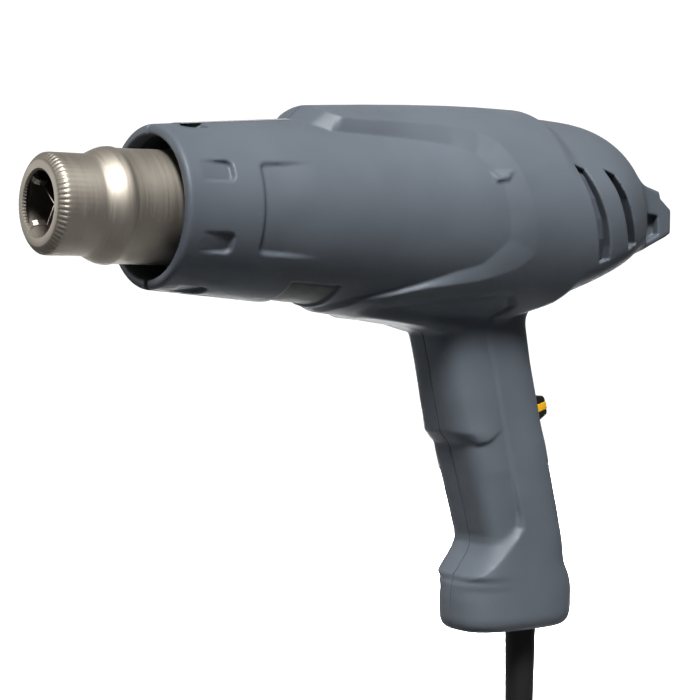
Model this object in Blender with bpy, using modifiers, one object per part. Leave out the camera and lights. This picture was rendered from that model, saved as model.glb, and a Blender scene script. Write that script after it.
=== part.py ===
"""Heat gun: a hand-held hot-air tool with a stepped steel nozzle, a two-part casing and a mains lead.

The gun is laid out in its own barrel frame: X runs along the barrel axis from the nozzle tip
to the rear foot, Y points to the tool's right side and Z up.  The barrel frame hangs on an
empty, so that the world origin is the middle of the hand grip.  Lengths are in metres.
"""
import bpy
import bmesh
from math import acos, cos, pi, sin, sqrt
from mathutils import Matrix, Vector

MM = 0.001
GAP = 0.3 * MM                    # clearance between two pieces that touch

# ---- driving dimensions: nozzle and heater ----
NOZZLE_HOLE_R = 11.1 * MM
NOZZLE_LIP_R = 14.6 * MM
NOZZLE_FRONT_R = 17.0 * MM
NOZZLE_FRONT_LEN = 18.0 * MM
NOZZLE_STEP_LEN = 5.0 * MM
NOZZLE_R = 19.7 * MM
NOZZLE_OUT = 40.7 * MM            # length that stands out of the casing
SHEET = 0.9 * MM                  # steel of the nozzle tube
HEATER_LEN = 77.0 * MM            # from the casing's mouth to the heater flange
MICA_T = 0.6 * MM
CORE_LEN = 68.0 * MM
CORE_CHANNEL_R = 4.4 * MM
CORE_PITCH_R = 9.6 * MM
COIL_WIRE_R = 0.45 * MM
COIL_PITCH = 7.5 * MM
GUARD_DEPTH = 6.0 * MM            # of the crossed strips behind the lip
GUARD_LEN = 8.0 * MM
SHIELD_T = 0.8 * MM
FLANGE_T = 2.0 * MM

# ---- driving dimensions: casing ----
WALL = 2.8 * MM
MOUTH_GAP = 4.9 * MM              # dark ring between nozzle and casing
LIP_T = 3.5 * MM
BARREL_TAPER = 0.088
SADDLE_RISE = 4.4 * MM            # of the raised rear body over the front barrel
SADDLE_X = 101.0 * MM
DOME_X = 204.0 * MM
DOME_LEN = 54.0 * MM
FOOT_X = 265.0 * MM
FOOT_HALF_W = 24.0 * MM
FOOT_H = 10.5 * MM
HANDLE_X = 160.0 * MM             # front of the grip where it leaves the barrel
HANDLE_DEPTH = 45.0 * MM
HANDLE_HALF_W = 16.5 * MM
HANDLE_LEAN = 0.235               # run towards the rear for each unit down
HANDLE_BOTTOM = -158.0 * MM
GRIP_Z = -90.0 * MM               # height of the middle of the grip
BASE_H = 19.0 * MM

# ---- driving dimensions: blower ----
FAN_R = 28.0 * MM
FAN_HUB_R = 9.5 * MM
FAN_LEN = 10.0 * MM
BLADES = 7
DUCT_WALL = 1.6 * MM
DUCT_LEN = 42.0 * MM
MOTOR_R = 17.5 * MM
MOTOR_LEN = 32.0 * MM
CAN_T = 1.2 * MM
MAGNET_T = 3.4 * MM
SHAFT_R = 1.6 * MM

# ---- driving dimensions: switch, electrics, cord ----
SLIDER_LEN = 7.0 * MM
SLIDER_HALF_W = 5.0 * MM
SLIDER_PROUD = 4.0 * MM
SLIDER_TRAVEL = 8.0 * MM
SLIDER_Z = -73.5 * MM
BOARD_T = 1.6 * MM
SCREW_R = 1.5 * MM
SCREW_HEAD_R = 3.0 * MM
SCREW_LEN = 18.0 * MM
BOSS_R = 3.9 * MM
SEAT_Y = 7.0 * MM                 # depth of the screw heads' seats from the seam
CORD_D = 7.5 * MM
SLEEVE_LEN = 57.0 * MM
SLEEVE_TOP_R = 6.1 * MM
SLEEVE_END_R = 5.0 * MM
CORD_X = 211.0 * MM
COIL_TURN_R = 42.0 * MM           # middle of the coil's turns
COIL_Y = 33.0 * MM                # of the coil's middle, to the tool's right
COIL_ACROSS = 4                   # turns side by side in a layer
COIL_LAYERS = 2
CORD_STEP = 7.75 * MM             # from turn to turn
FLOOR_Z = -277.0 * MM             # underside of the coil, in the barrel frame

# ---- sizes that follow from the ones above ----
NOZZLE_IN_R = NOZZLE_R - SHEET
MOUTH_X = NOZZLE_OUT
MOUTH_R = NOZZLE_R + MOUTH_GAP
BARREL_R = MOUTH_R + LIP_T
FLANGE_X = MOUTH_X + HEATER_LEN
DUCT_X = FLANGE_X + 2 * FLANGE_T + 3 * GAP
DUCT_END = DUCT_X + DUCT_LEN
DUCT_R = FAN_R + 1.5 * MM + DUCT_WALL
FAN_X = DUCT_END - FAN_LEN - 5.0 * MM
CARRIER_T = 3.0 * MM
MOTOR_X = DUCT_END + GAP + CARRIER_T + GAP
MOTOR_END = MOTOR_X + MOTOR_LEN
CAP_T = 3.0 * MM
CORE_R = NOZZLE_IN_R - GAP - MICA_T - GAP
CORE_X = FLANGE_X - 12.0 * MM - CORE_LEN
ROTOR_R = MOTOR_R - CAN_T - GAP - MAGNET_T - 0.8 * MM
COIL_R = CORE_CHANNEL_R - COIL_WIRE_R - GAP
SLEEVE_END_Z = HANDLE_BOTTOM - SLEEVE_LEN
CORD_R = CORD_D / 2

WORLD_SHIFT = Vector((-(HANDLE_X + 33.0 * MM), 0.0, -GRIP_Z))

parts = None
cutters = None
frame = None
materials = {}


# ---------------------------------------------------------------- scene and materials

def clear_scene():
    for obj in list(bpy.data.objects):
        bpy.data.objects.remove(obj, do_unlink=True)


def new_collection(name):
    collection = bpy.data.collections.new(name)
    bpy.context.scene.collection.children.link(collection)
    return collection


def material(name, colour, roughness, metallic=0.0):
    if name not in materials:
        mat = bpy.data.materials.new(name)
        mat.use_nodes = True
        shader = mat.node_tree.nodes["Principled BSDF"]
        shader.inputs["Base Color"].default_value = (*colour, 1.0)
        shader.inputs["Roughness"].default_value = roughness
        shader.inputs["Metallic"].default_value = metallic
        materials[name] = mat
    return materials[name]


def casing_plastic():
    return material("casing_plastic", (0.125, 0.148, 0.180), 0.5)


def steel():
    return material("steel", (0.56, 0.53, 0.49), 0.32, 1.0)


def zinc():
    return material("zinc_screw", (0.50, 0.50, 0.52), 0.35, 1.0)


def mica():
    return material("mica", (0.55, 0.47, 0.34), 0.6)


def ceramic():
    return material("heater_ceramic", (0.80, 0.76, 0.68), 0.8)


def heating_wire():
    return material("heating_wire", (0.30, 0.27, 0.25), 0.5, 1.0)


def black_plastic():
    return material("black_plastic", (0.02, 0.02, 0.022), 0.45)


def white_nylon():
    return material("white_nylon", (0.72, 0.72, 0.68), 0.5)


def black_rubber():
    return material("black_rubber", (0.018, 0.018, 0.018), 0.6)


def copper():
    return material("copper", (0.72, 0.36, 0.20), 0.35, 1.0)


def magnet():
    return material("magnet", (0.10, 0.10, 0.11), 0.5, 0.3)


def board_green():
    return material("board", (0.05, 0.22, 0.10), 0.5)


def wire_colour(name, colour):
    return material(name, colour, 0.45)


def label_film():
    return material("label_film", (0.74, 0.75, 0.76), 0.4)


# ---------------------------------------------------------------- modelling helpers

def add_object(name, data, mat=None, cutter=False):
    obj = bpy.data.objects.new(name, data)
    (cutters if cutter else parts).objects.link(obj)
    obj.parent = frame
    if mat is not None:
        data.materials.append(mat)
    if cutter:
        obj.hide_render = True
        obj.display_type = "WIRE"
    return obj


def smooth(obj, angle=0.6):
    obj.data.shade_smooth()
    obj.data.set_sharp_from_angle(angle=angle)
    return obj


TURN = {"X": (0.0, pi / 2, 0.0), "Y": (-pi / 2, 0.0, 0.0), "Z": (0.0, 0.0, 0.0)}


def turned(name, profile, mat=None, closed=True, steps=32, axis="X", at=(0, 0, 0), cutter=False):
    """A turned solid.  The profile lists (place along the axis, radius), down the outer side."""
    mesh = bpy.data.meshes.new(name)
    verts = [(radius, 0.0, along) for along, radius in profile]
    edges = [(i, i + 1) for i in range(len(profile) - 1)]
    if closed:
        edges.append((len(profile) - 1, 0))
    mesh.from_pydata(verts, edges, [])
    obj = add_object(name, mesh, mat, cutter)
    obj.location = at
    obj.rotation_euler = TURN[axis]
    screw = obj.modifiers.new("turn", "SCREW")
    screw.angle = 2 * pi
    screw.steps = steps
    screw.render_steps = steps
    screw.use_merge_vertices = True
    screw.merge_threshold = 0.00001
    weld = obj.modifiers.new("poles", "WELD")
    weld.merge_threshold = 0.00001
    return obj


def disc(name, start, end, radius, mat=None, **options):
    """A plain turned cylinder from start to end along its axis."""
    profile = [(end, 0.0), (end, radius), (start, radius), (start, 0.0)]
    return turned(name, profile, mat, closed=False, **options)


def ring(name, start, end, outer, inner, mat=None, **options):
    profile = [(end, inner), (end, outer), (start, outer), (start, inner)]
    return turned(name, profile, mat, **options)


def box(name, low, high, mat=None, bevel=0.0, cutter=False):
    bm = bmesh.new()
    size = [high[i] - low[i] for i in range(3)]
    middle = [(high[i] + low[i]) / 2 for i in range(3)]
    bmesh.ops.create_cube(bm, size=1.0, matrix=Matrix.Translation(middle) @ Matrix.Diagonal((*size, 1.0)))
    mesh = bpy.data.meshes.new(name)
    bm.to_mesh(mesh)
    bm.free()
    obj = add_object(name, mesh, mat, cutter)
    if bevel > 0:
        add_bevel(obj, bevel)
    return obj


def add_bevel(obj, width, segments=2):
    bevel = obj.modifiers.new("edges", "BEVEL")
    bevel.width = width
    bevel.segments = segments
    bevel.limit_method = "ANGLE"
    bevel.angle_limit = 0.6
    return bevel


def as_mesh(curve_obj, cutter=False):
    """Swap a curve object for the mesh it makes, with its caps welded on."""
    bpy.context.view_layer.update()
    evaluated = curve_obj.evaluated_get(bpy.context.evaluated_depsgraph_get())
    mesh = bpy.data.meshes.new_from_object(evaluated)
    bm = bmesh.new()
    bm.from_mesh(mesh)
    bmesh.ops.remove_doubles(bm, verts=bm.verts, dist=0.000005)
    bm.to_mesh(mesh)
    bm.free()
    name = curve_obj.name
    mat = curve_obj.data.materials[0] if curve_obj.data.materials else None
    world = curve_obj.matrix_world.copy()
    bpy.data.objects.remove(curve_obj, do_unlink=True)
    mesh.materials.clear()
    obj = add_object(name, mesh, mat, cutter)
    obj.matrix_world = world
    return obj


def outline(name, points, half_width, mat=None, cutter=False, middle=0.0):
    """A flat side outline of (x, z) points, as thick as twice half_width across the tool."""
    curve = bpy.data.curves.new(name, "CURVE")
    curve.dimensions = "2D"
    curve.fill_mode = "BOTH"
    curve.extrude = half_width
    spline = curve.splines.new("POLY")
    spline.points.add(len(points) - 1)
    for point, (x, z) in zip(spline.points, points):
        point.co = (x, z, 0.0, 1.0)
    spline.use_cyclic_u = True
    obj = add_object(name, curve, mat, cutter)
    obj.rotation_euler = (pi / 2, 0.0, 0.0)
    obj.location = (0.0, middle, 0.0)
    return as_mesh(obj, cutter)


def wire(name, points, radius, mat, resolution=2):
    curve = bpy.data.curves.new(name, "CURVE")
    curve.dimensions = "3D"
    curve.bevel_depth = radius
    curve.bevel_resolution = resolution
    curve.use_fill_caps = True
    spline = curve.splines.new("POLY")
    spline.points.add(len(points) - 1)
    for point, place in zip(spline.points, points):
        point.co = (*place, 1.0)
    return add_object(name, curve, mat)


def through(points, count):
    """Even steps along the smooth curve (Catmull-Rom) that runs through a few points."""
    nodes = [Vector(p) for p in points]
    nodes = [2 * nodes[0] - nodes[1]] + nodes + [2 * nodes[-1] - nodes[-2]]
    fine = []
    for i in range(1, len(nodes) - 2):
        a, b, c, d = nodes[i - 1:i + 3]
        for k in range(24):
            t = k / 24
            fine.append(0.5 * (2 * b + (c - a) * t + (2 * a - 5 * b + 4 * c - d) * t * t
                               + (3 * b - a - 3 * c + d) * t ** 3))
    fine.append(nodes[-2])
    runs = [0.0]
    for p, q in zip(fine, fine[1:]):
        runs.append(runs[-1] + (q - p).length)
    result = []
    k = 0
    for i in range(count):
        want = runs[-1] * i / (count - 1)
        while k < len(runs) - 2 and runs[k + 1] < want:
            k += 1
        share = (want - runs[k]) / (runs[k + 1] - runs[k])
        result.append(fine[k].lerp(fine[k + 1], share))
    return result


def loft(name, rings, mat=None, cutter=False):
    """A closed solid through rings of equal point counts, which are unlike sections."""
    bm = bmesh.new()
    rows = [[bm.verts.new(p) for p in row] for row in rings]
    count = len(rows[0])
    for low, high in zip(rows, rows[1:]):
        for i in range(count):
            j = (i + 1) % count
            bm.faces.new((low[i], low[j], high[j], high[i]))
    bm.faces.new(list(reversed(rows[0])))
    bm.faces.new(rows[-1])
    bmesh.ops.recalc_face_normals(bm, faces=bm.faces)
    mesh = bpy.data.meshes.new(name)
    bm.to_mesh(mesh)
    bm.free()
    return add_object(name, mesh, mat, cutter)


def boolean(obj, operation, other, solver="EXACT"):
    step = obj.modifiers.new(operation.lower(), "BOOLEAN")
    step.operation = operation
    step.object = other
    step.solver = solver
    return obj


def cut(obj, *others, solver="EXACT"):
    for other in others:
        boolean(obj, "DIFFERENCE", other, solver)
    return obj


def join(obj, *others, solver="EXACT"):
    for other in others:
        boolean(obj, "UNION", other, solver)
    return obj


# ---------------------------------------------------------------- casing outline

def barrel_radius(x):
    return BARREL_R + BARREL_TAPER * (x - MOUTH_X)


def body_radius(x):
    """Outer radius of the raised rear body ahead of its dome."""
    share = (x - SADDLE_X) / (DOME_X - SADDLE_X)
    return barrel_radius(x) + SADDLE_RISE * (1 - share)


def dome_point(share, inset=0.0):
    """Place and radius along the dome: share is 0 at its foot and 1 at its pole."""
    along = sin(pi / 2 * share)
    radius = (barrel_radius(DOME_X) - inset) * sqrt(max(0.0, 1 - along ** 2.3))
    return (DOME_X + (DOME_LEN - inset) * along, radius)


def form_profile(radius_at, start, inset=0.0):
    """Outer side of the barrel or body, from the dome's pole to its front end."""
    places = [start, DOME_X / 2 + start / 2]
    profile = [(x, radius_at(x) - inset) for x in places]
    profile += [dome_point(i / 7, inset) for i in range(8)]
    return list(reversed(profile)) + [(start, 0.0)]


def body_region():
    """Side outline inside which the raised rear body replaces the front barrel."""
    top = 60 * MM
    points = [(SADDLE_X - 4 * MM, top), (SADDLE_X - 3 * MM, 33 * MM), (SADDLE_X + 6 * MM, 30 * MM),
              (SADDLE_X + 46 * MM, 28.5 * MM), (SADDLE_X + 60 * MM, 24 * MM), (SADDLE_X + 68 * MM, 12 * MM),
              (SADDLE_X + 73 * MM, 0.0), (SADDLE_X + 71 * MM, -14 * MM), (SADDLE_X + 58 * MM, -21 * MM),
              (SADDLE_X + 30 * MM, -27.5 * MM), (SADDLE_X + 12 * MM, -32 * MM), (SADDLE_X + 8 * MM, -top),
              (FOOT_X + 20 * MM, -top), (FOOT_X + 20 * MM, top)]
    return outline("body_region", points, 70 * MM, cutter=True)


def handle_front(z):
    """Front of the grip: leaning shank, finger step, waist and the upright base."""
    depth = -z
    waist = -HANDLE_BOTTOM - BASE_H - 15 * MM
    shank = HANDLE_X + HANDLE_LEAN * (depth - 42 * MM)
    if depth <= 80 * MM:
        return shank
    if depth <= waist:
        return shank + 3.2 * MM * min((depth - 80 * MM) / (6 * MM), 1.0)
    share = min((depth - waist) / (15 * MM), 1.0)
    return HANDLE_X + HANDLE_LEAN * (waist - 42 * MM) + 3.2 * MM - 10 * MM * share


def handle_back(z):
    lean = HANDLE_X + HANDLE_DEPTH + 0.255 * (-z - 46 * MM)
    if z > HANDLE_BOTTOM + BASE_H + 4 * MM:
        return lean
    return HANDLE_X + HANDLE_DEPTH + 0.255 * (-HANDLE_BOTTOM - BASE_H - 50 * MM) + 3.2 * MM


def handle_ring(z, inset=0.0, lift=0.0):
    """Rounded section of the handle at one height, as a superellipse of twenty points."""
    front = handle_front(z) + inset
    back = handle_back(z) - inset
    half_w = HANDLE_HALF_W - inset
    if z < HANDLE_BOTTOM + BASE_H + 2 * MM:
        half_w += 1.2 * MM
    points = []
    for i in range(20):
        angle = 2 * pi * (i + 0.5) / 20
        c, s = cos(angle), sin(angle)
        x = (front + back) / 2 + (back - front) / 2 * abs(c) ** 0.62 * (1 if c > 0 else -1)
        y = half_w * abs(s) ** 0.62 * (1 if s > 0 else -1)
        points.append((x, y, z + lift))
    return points


def handle_heights():
    waist = HANDLE_BOTTOM + BASE_H + 15 * MM
    return [-22 * MM, -50 * MM, -80 * MM, -86 * MM, waist, waist - 8 * MM,
            HANDLE_BOTTOM + BASE_H, HANDLE_BOTTOM + 3 * MM]


def handle_form():
    rings = [handle_ring(z) for z in handle_heights()]
    rings.append([(x * 0.96 + 0.04 * CORD_X, y * 0.9, HANDLE_BOTTOM) for x, y, _ in rings[-1]])
    return loft("handle_form", rings, cutter=True)


def handle_cavity():
    heights = handle_heights()[:-1] + [HANDLE_BOTTOM + WALL]
    rings = [handle_ring(z, inset=WALL) for z in heights]
    return loft("handle_cavity", rings, cutter=True)


def underside_wedge(name, lift=0.0):
    """Slanting flat under the rear body, from the back of the handle to the foot."""
    low_front = (196 * MM, -34.0 * MM)
    foot_low = (FOOT_X, -FOOT_H / 2)
    slope = (foot_low[1] - low_front[1]) / (foot_low[0] - low_front[0])
    far = FOOT_X + 30 * MM
    near = low_front[0] - 40 * MM
    points = [(near, low_front[1] - slope * 40 * MM + lift), (far, foot_low[1] + slope * 30 * MM + lift),
              (far, -80 * MM), (near, -80 * MM)]
    return outline(name, points, 70 * MM, cutter=True)


def foot_form():
    half = FOOT_H / 2
    points = [(FOOT_X, half), (FOOT_X, -half), (FOOT_X - 30 * MM, -half - 12.8 * MM),
              (FOOT_X - 40 * MM, 10 * MM), (FOOT_X - 17 * MM, half + 10 * MM),
              (FOOT_X - 6.5 * MM, half + 7 * MM), (FOOT_X - 6 * MM, half + 5 * MM)]
    obj = outline("foot_form", points, FOOT_HALF_W, cutter=True)
    add_bevel(obj, 1.0 * MM, 1)
    return obj


def keel_form():
    """Ridge under the barrel that grows into the front of the handle."""
    points = [(SADDLE_X + 6 * MM, -20 * MM), (SADDLE_X + 6 * MM, -33 * MM), (SADDLE_X + 10 * MM, -36 * MM),
              (HANDLE_X - 14 * MM, -41.5 * MM), (HANDLE_X + 6 * MM, -46 * MM), (HANDLE_X + 30 * MM, -46 * MM),
              (HANDLE_X + 30 * MM, -20 * MM)]
    obj = outline("keel_form", points, HANDLE_HALF_W - 1.5 * MM, cutter=True)
    add_bevel(obj, 3.0 * MM, 2)
    return obj


def casing_form():
    """Outer shape of the two halves together."""
    form = turned("casing_form", form_profile(barrel_radius, MOUTH_X), closed=False, steps=40,
                  cutter=True)
    raised = turned("raised_form", form_profile(body_radius, SADDLE_X - 4 * MM), closed=False, steps=40,
                    cutter=True)
    boolean(raised, "INTERSECT", body_region())
    join(form, raised)
    cut(form, underside_wedge("underside_wedge"))
    join(form, foot_form(), keel_form(), handle_form())
    return form


# ---------------------------------------------------------------- casing halves

def screw_places():
    """Centres (x, z) of the seven casing screws."""
    front_x = SADDLE_X + 9 * MM
    rear_x = DOME_X - 4 * MM
    keel_x = SADDLE_X + 12 * MM
    base_z = HANDLE_BOTTOM + WALL + BOSS_R + 2 * MM
    grip_z = -62 * MM
    return [(front_x, barrel_radius(front_x) - 1.6 * MM),
            (rear_x, barrel_radius(rear_x) - WALL - BOSS_R + 1.5 * MM),
            (DOME_X + DOME_LEN - 15 * MM, 2.0 * MM),
            (keel_x, 1.5 * MM - barrel_radius(keel_x)),
            (handle_front(grip_z) + WALL + BOSS_R - 1 * MM, grip_z),
            (handle_front(base_z) + WALL + BOSS_R - 1 * MM, base_z),
            (handle_back(base_z) - WALL - BOSS_R + 2.2 * MM, base_z)]


def casing_cavity():
    start = MOUTH_X - 1 * MM
    profile = form_profile(barrel_radius, MOUTH_X + 5 * MM, WALL)
    profile = profile[:-1] + [(MOUTH_X + 4 * MM, MOUTH_R), (start, MOUTH_R), (start, 0.0)]
    cavity = turned("casing_cavity", profile, closed=False, steps=32, cutter=True)
    return cut(cavity, underside_wedge("cavity_wedge", 1.1 * WALL))


def wire_channel():
    """Way for the wires from the grip along the keel to the heater, through the duct's rib."""
    start = DUCT_X + 3 * MM
    end = HANDLE_X + 14 * MM
    points = [(start, 3 * MM - DUCT_R), (start, -DUCT_R - 2.6 * MM), (HANDLE_X, -DUCT_R - 7 * MM),
              (end, -DUCT_R - 10 * MM), (end, 3 * MM - DUCT_R)]
    return outline("wire_channel", points, 8.5 * MM, cutter=True)


def slot_cutters():
    """Two slanting intake slots, cut straight through both sides."""
    found = []
    for i, (front, top, bottom) in enumerate(((203 * MM, 19 * MM, -15.5 * MM), (218 * MM, 18 * MM, -9.5 * MM))):
        lean = 0.32 * (top - bottom)
        width = 5.6 * MM
        points = [(front, top), (front + lean, bottom), (front + lean + width, bottom + 1 * MM),
                  (front + width, top - 1 * MM)]
        found.append(outline(f"slot_cut_{i}", points, 70 * MM, cutter=True))
    return found


def rating_recess():
    low = (87 * MM, -12 * MM, -60 * MM)
    high = (107 * MM, 12 * MM, -barrel_radius(97 * MM) + 1.4 * MM)
    return box("rating_recess", low, high, cutter=True)


def flange_ribs(name):
    """Ring ribs that hold the heater flange between them."""
    outer = barrel_radius(FLANGE_X) + 2 * MM
    inner = NOZZLE_R + 5.8 * MM
    front_x = FLANGE_X - GAP
    front = ring(f"{name}_front", front_x - 1.8 * MM, front_x, outer, inner, steps=32, cutter=True)
    back_x = FLANGE_X + FLANGE_T + GAP
    back = ring(f"{name}_back", back_x, back_x + 1.6 * MM, outer, inner, steps=32, cutter=True)
    return front, back


def duct_rib(name):
    """Ring rib that carries the fan duct at its rear end."""
    x = DUCT_END - 6 * MM
    return ring(name, x, x + 2.5 * MM, barrel_radius(x) + 1 * MM, DUCT_R + GAP, steps=32, cutter=True)


def half_casing(name, side, form, cavity, grip_cavity, holes):
    """One half of the casing: side is -1 for the left half and 1 for the right one."""
    seam = GAP / 2 * side
    past = -6 * MM * side
    reach = 62 * MM * side
    low = (30 * MM, min(past, reach), HANDLE_BOTTOM - 12 * MM)
    high = (FOOT_X + 12 * MM, max(past, reach), 62 * MM)
    half = box(name, low, high, casing_plastic())
    cut(half, cavity, grip_cavity, solver="MANIFOLD")
    join(half, *flange_ribs(f"{name}_flange_rib"), duct_rib(f"{name}_duct_rib"), solver="MANIFOLD")
    trim = box(f"{name}_seam_trim", (20 * MM, min(seam, -reach), -200 * MM),
               (FOOT_X + 40 * MM, max(seam, -reach), 90 * MM), cutter=True)
    for i, (x, z) in enumerate(screw_places()):
        start, end = sorted((-2 * MM * side, 50 * MM * side))
        boss = disc(f"{name}_boss_{i + 1}", start, end, BOSS_R, axis="Y", at=(x, 0, z), steps=16, cutter=True)
        join(half, boss, solver="MANIFOLD")
        deep = 60 * MM if side > 0 else SCREW_LEN - SEAT_Y + 1.5 * MM
        start, end = sorted((-4 * MM * side, deep * side))
        hole = disc(f"{name}_hole_{i + 1}", start, end, SCREW_R + GAP, axis="Y", at=(x, 0, z), steps=12,
                    cutter=True)
        holes_here = [hole]
        if side > 0:
            well = disc(f"{name}_well_{i + 1}", SEAT_Y, 60 * MM, SCREW_HEAD_R + GAP, axis="Y", at=(x, 0, z),
                        steps=16, cutter=True)
            holes_here.append(well)
        cut(half, *holes_here, solver="MANIFOLD")
    boolean(half, "INTERSECT", form, solver="MANIFOLD")
    cut(half, *holes, solver="MANIFOLD")
    cut(half, trim, solver="MANIFOLD")
    return half


def build_casing():
    form = casing_form()
    cavity = casing_cavity()
    grip_cavity = handle_cavity()
    cord_hole = disc("cord_hole", HANDLE_BOTTOM - 5 * MM, HANDLE_BOTTOM + WALL + 1 * MM,
                     SLEEVE_TOP_R + GAP, axis="Z", at=(CORD_X, 0, 0), steps=20, cutter=True)
    holes = slot_cutters() + [wire_channel(), rating_recess(), cord_hole, switch_window()]
    half_casing("housing_left", -1, form, cavity, grip_cavity, holes)
    half_casing("housing_right", 1, form, cavity, grip_cavity, holes)


def build_screws():
    for i, (x, z) in enumerate(screw_places()):
        seat = SEAT_Y + GAP
        tip = seat - SCREW_LEN
        profile = [(seat + 1.9 * MM, 0.0), (seat + 1.9 * MM, SCREW_HEAD_R * 0.6), (seat + 1.2 * MM, SCREW_HEAD_R),
                   (seat, SCREW_HEAD_R), (seat, SCREW_R), (tip + 1.5 * MM, SCREW_R), (tip, SCREW_R * 0.4),
                   (tip, 0.0)]
        smooth(turned(f"housing_screw_{i + 1}", profile, zinc(), closed=False, axis="Y", at=(x, 0, z), steps=12))


def build_labels():
    """Blank film labels: one on top of the barrel and one in the recess under it."""
    start, end = 51 * MM, 95 * MM
    lift = GAP
    thick = 0.25 * MM
    band = turned("top_label", [(end, barrel_radius(end) + lift), (end, barrel_radius(end) + lift + thick),
                                (start, barrel_radius(start) + lift + thick),
                                (start, barrel_radius(start) + lift)], label_film(), steps=48)
    window = box("top_label_window", (40 * MM, -14 * MM, 15 * MM), (110 * MM, 14 * MM, 50 * MM), cutter=True)
    boolean(band, "INTERSECT", window)
    floor = -barrel_radius(97 * MM) + 1.4 * MM
    box("rating_label", (88 * MM, -11 * MM, floor - GAP - 0.4 * MM), (106 * MM, 11 * MM, floor - GAP),
        label_film())


# ---------------------------------------------------------------- nozzle and heater

def build_nozzle():
    """Stepped steel tube with its flared flange at the rear."""
    step_x = NOZZLE_FRONT_LEN
    wide_x = step_x + NOZZLE_STEP_LEN
    rear = FLANGE_X - GAP
    profile = [(rear, NOZZLE_IN_R), (rear, NOZZLE_R + 4.2 * MM), (rear - 1.0 * MM, NOZZLE_R + 4.2 * MM),
               (rear - 1.0 * MM, NOZZLE_R), (wide_x, NOZZLE_R), (wide_x - 1.6 * MM, NOZZLE_R - 0.7 * MM),
               (step_x, NOZZLE_FRONT_R), (2.6 * MM, NOZZLE_FRONT_R), (0.0, NOZZLE_LIP_R),
               (0.0, NOZZLE_HOLE_R), (1.6 * MM, NOZZLE_HOLE_R), (3.4 * MM, NOZZLE_FRONT_R - SHEET),
               (step_x + 0.3 * MM, NOZZLE_FRONT_R - SHEET), (wide_x - 1.2 * MM, NOZZLE_IN_R - 0.7 * MM),
               (wide_x + 0.4 * MM, NOZZLE_IN_R)]
    smooth(turned("nozzle_tube", profile, steel(), steps=40), 0.4)


def build_guard():
    """Crossed sheet strips that keep fingers and rods out of the outlet."""
    reach = NOZZLE_FRONT_R - SHEET - GAP
    half = 0.4 * MM
    x0, x1 = GUARD_DEPTH, GUARD_DEPTH + GUARD_LEN
    guard = box("outlet_guard", (x0, -half, -reach), (x1, half, reach), steel())
    other = box("guard_strip", (x0, -reach, -half), (x1, reach, half), cutter=True)
    join(guard, other)
    guard.rotation_euler = (pi / 5, 0.0, 0.0)
    other.rotation_euler = (pi / 5, 0.0, 0.0)


def channel_places():
    return [(CORE_PITCH_R * cos(pi / 4 + k * pi / 2), CORE_PITCH_R * sin(pi / 4 + k * pi / 2)) for k in range(4)]


def build_heater():
    sleeve_r = NOZZLE_IN_R - GAP
    ring("mica_sleeve", CORE_X - 6 * MM, FLANGE_X - 1.5 * MM, sleeve_r, sleeve_r - MICA_T, mica(), steps=32)
    core = disc("ceramic_core", CORE_X, CORE_X + CORE_LEN, CORE_R, ceramic(), steps=32)
    plate_x = CORE_X + CORE_LEN + GAP
    plate = disc("terminal_disc", plate_x, plate_x + 2 * MM, CORE_R, mica(), steps=32)
    for k, (y, z) in enumerate(channel_places()):
        channel = disc(f"channel_{k + 1}", CORE_X - 2 * MM, CORE_X + CORE_LEN + 2 * MM, CORE_CHANNEL_R,
                       at=(0, y, z), steps=14, cutter=True)
        cut(core, channel)
        port = disc(f"port_{k + 1}", plate_x - 1 * MM, plate_x + 4 * MM, CORE_CHANNEL_R * 0.7,
                    at=(0, y, z), steps=12, cutter=True)
        cut(plate, port)
        coil_points = []
        turns = int((CORE_LEN - 6 * MM) / COIL_PITCH)
        for i in range(turns * 8 + 1):
            angle = 2 * pi * i / 8
            x = CORE_X + 3 * MM + COIL_PITCH * i / 8
            coil_points.append((x, y + COIL_R * cos(angle), z + COIL_R * sin(angle)))
        wire(f"heating_coil_{k + 1}", coil_points, COIL_WIRE_R, heating_wire(), resolution=0)
    smooth(turned("thermal_cutout", [(plate_x + 7 * MM, 0.0), (plate_x + 7 * MM, 3.2 * MM),
                                     (plate_x + 5.5 * MM, 4.2 * MM), (plate_x + 2 * MM + GAP, 4.2 * MM),
                                     (plate_x + 2 * MM + GAP, 0.0)], steel(), closed=False, steps=16))
    shield_r = NOZZLE_R + 2.4 * MM
    ring("heat_shield", MOUTH_X + 14 * MM, FLANGE_X - 1.3 * MM - GAP, shield_r + SHIELD_T, shield_r, steel(),
         steps=32)
    wide = barrel_radius(FLANGE_X) - WALL - GAP
    flange = ring("heater_flange", FLANGE_X, FLANGE_X + FLANGE_T, wide - 0.6 * MM, NOZZLE_IN_R - 1 * MM, steel(),
                  steps=32)
    return flange


# ---------------------------------------------------------------- blower

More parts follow.
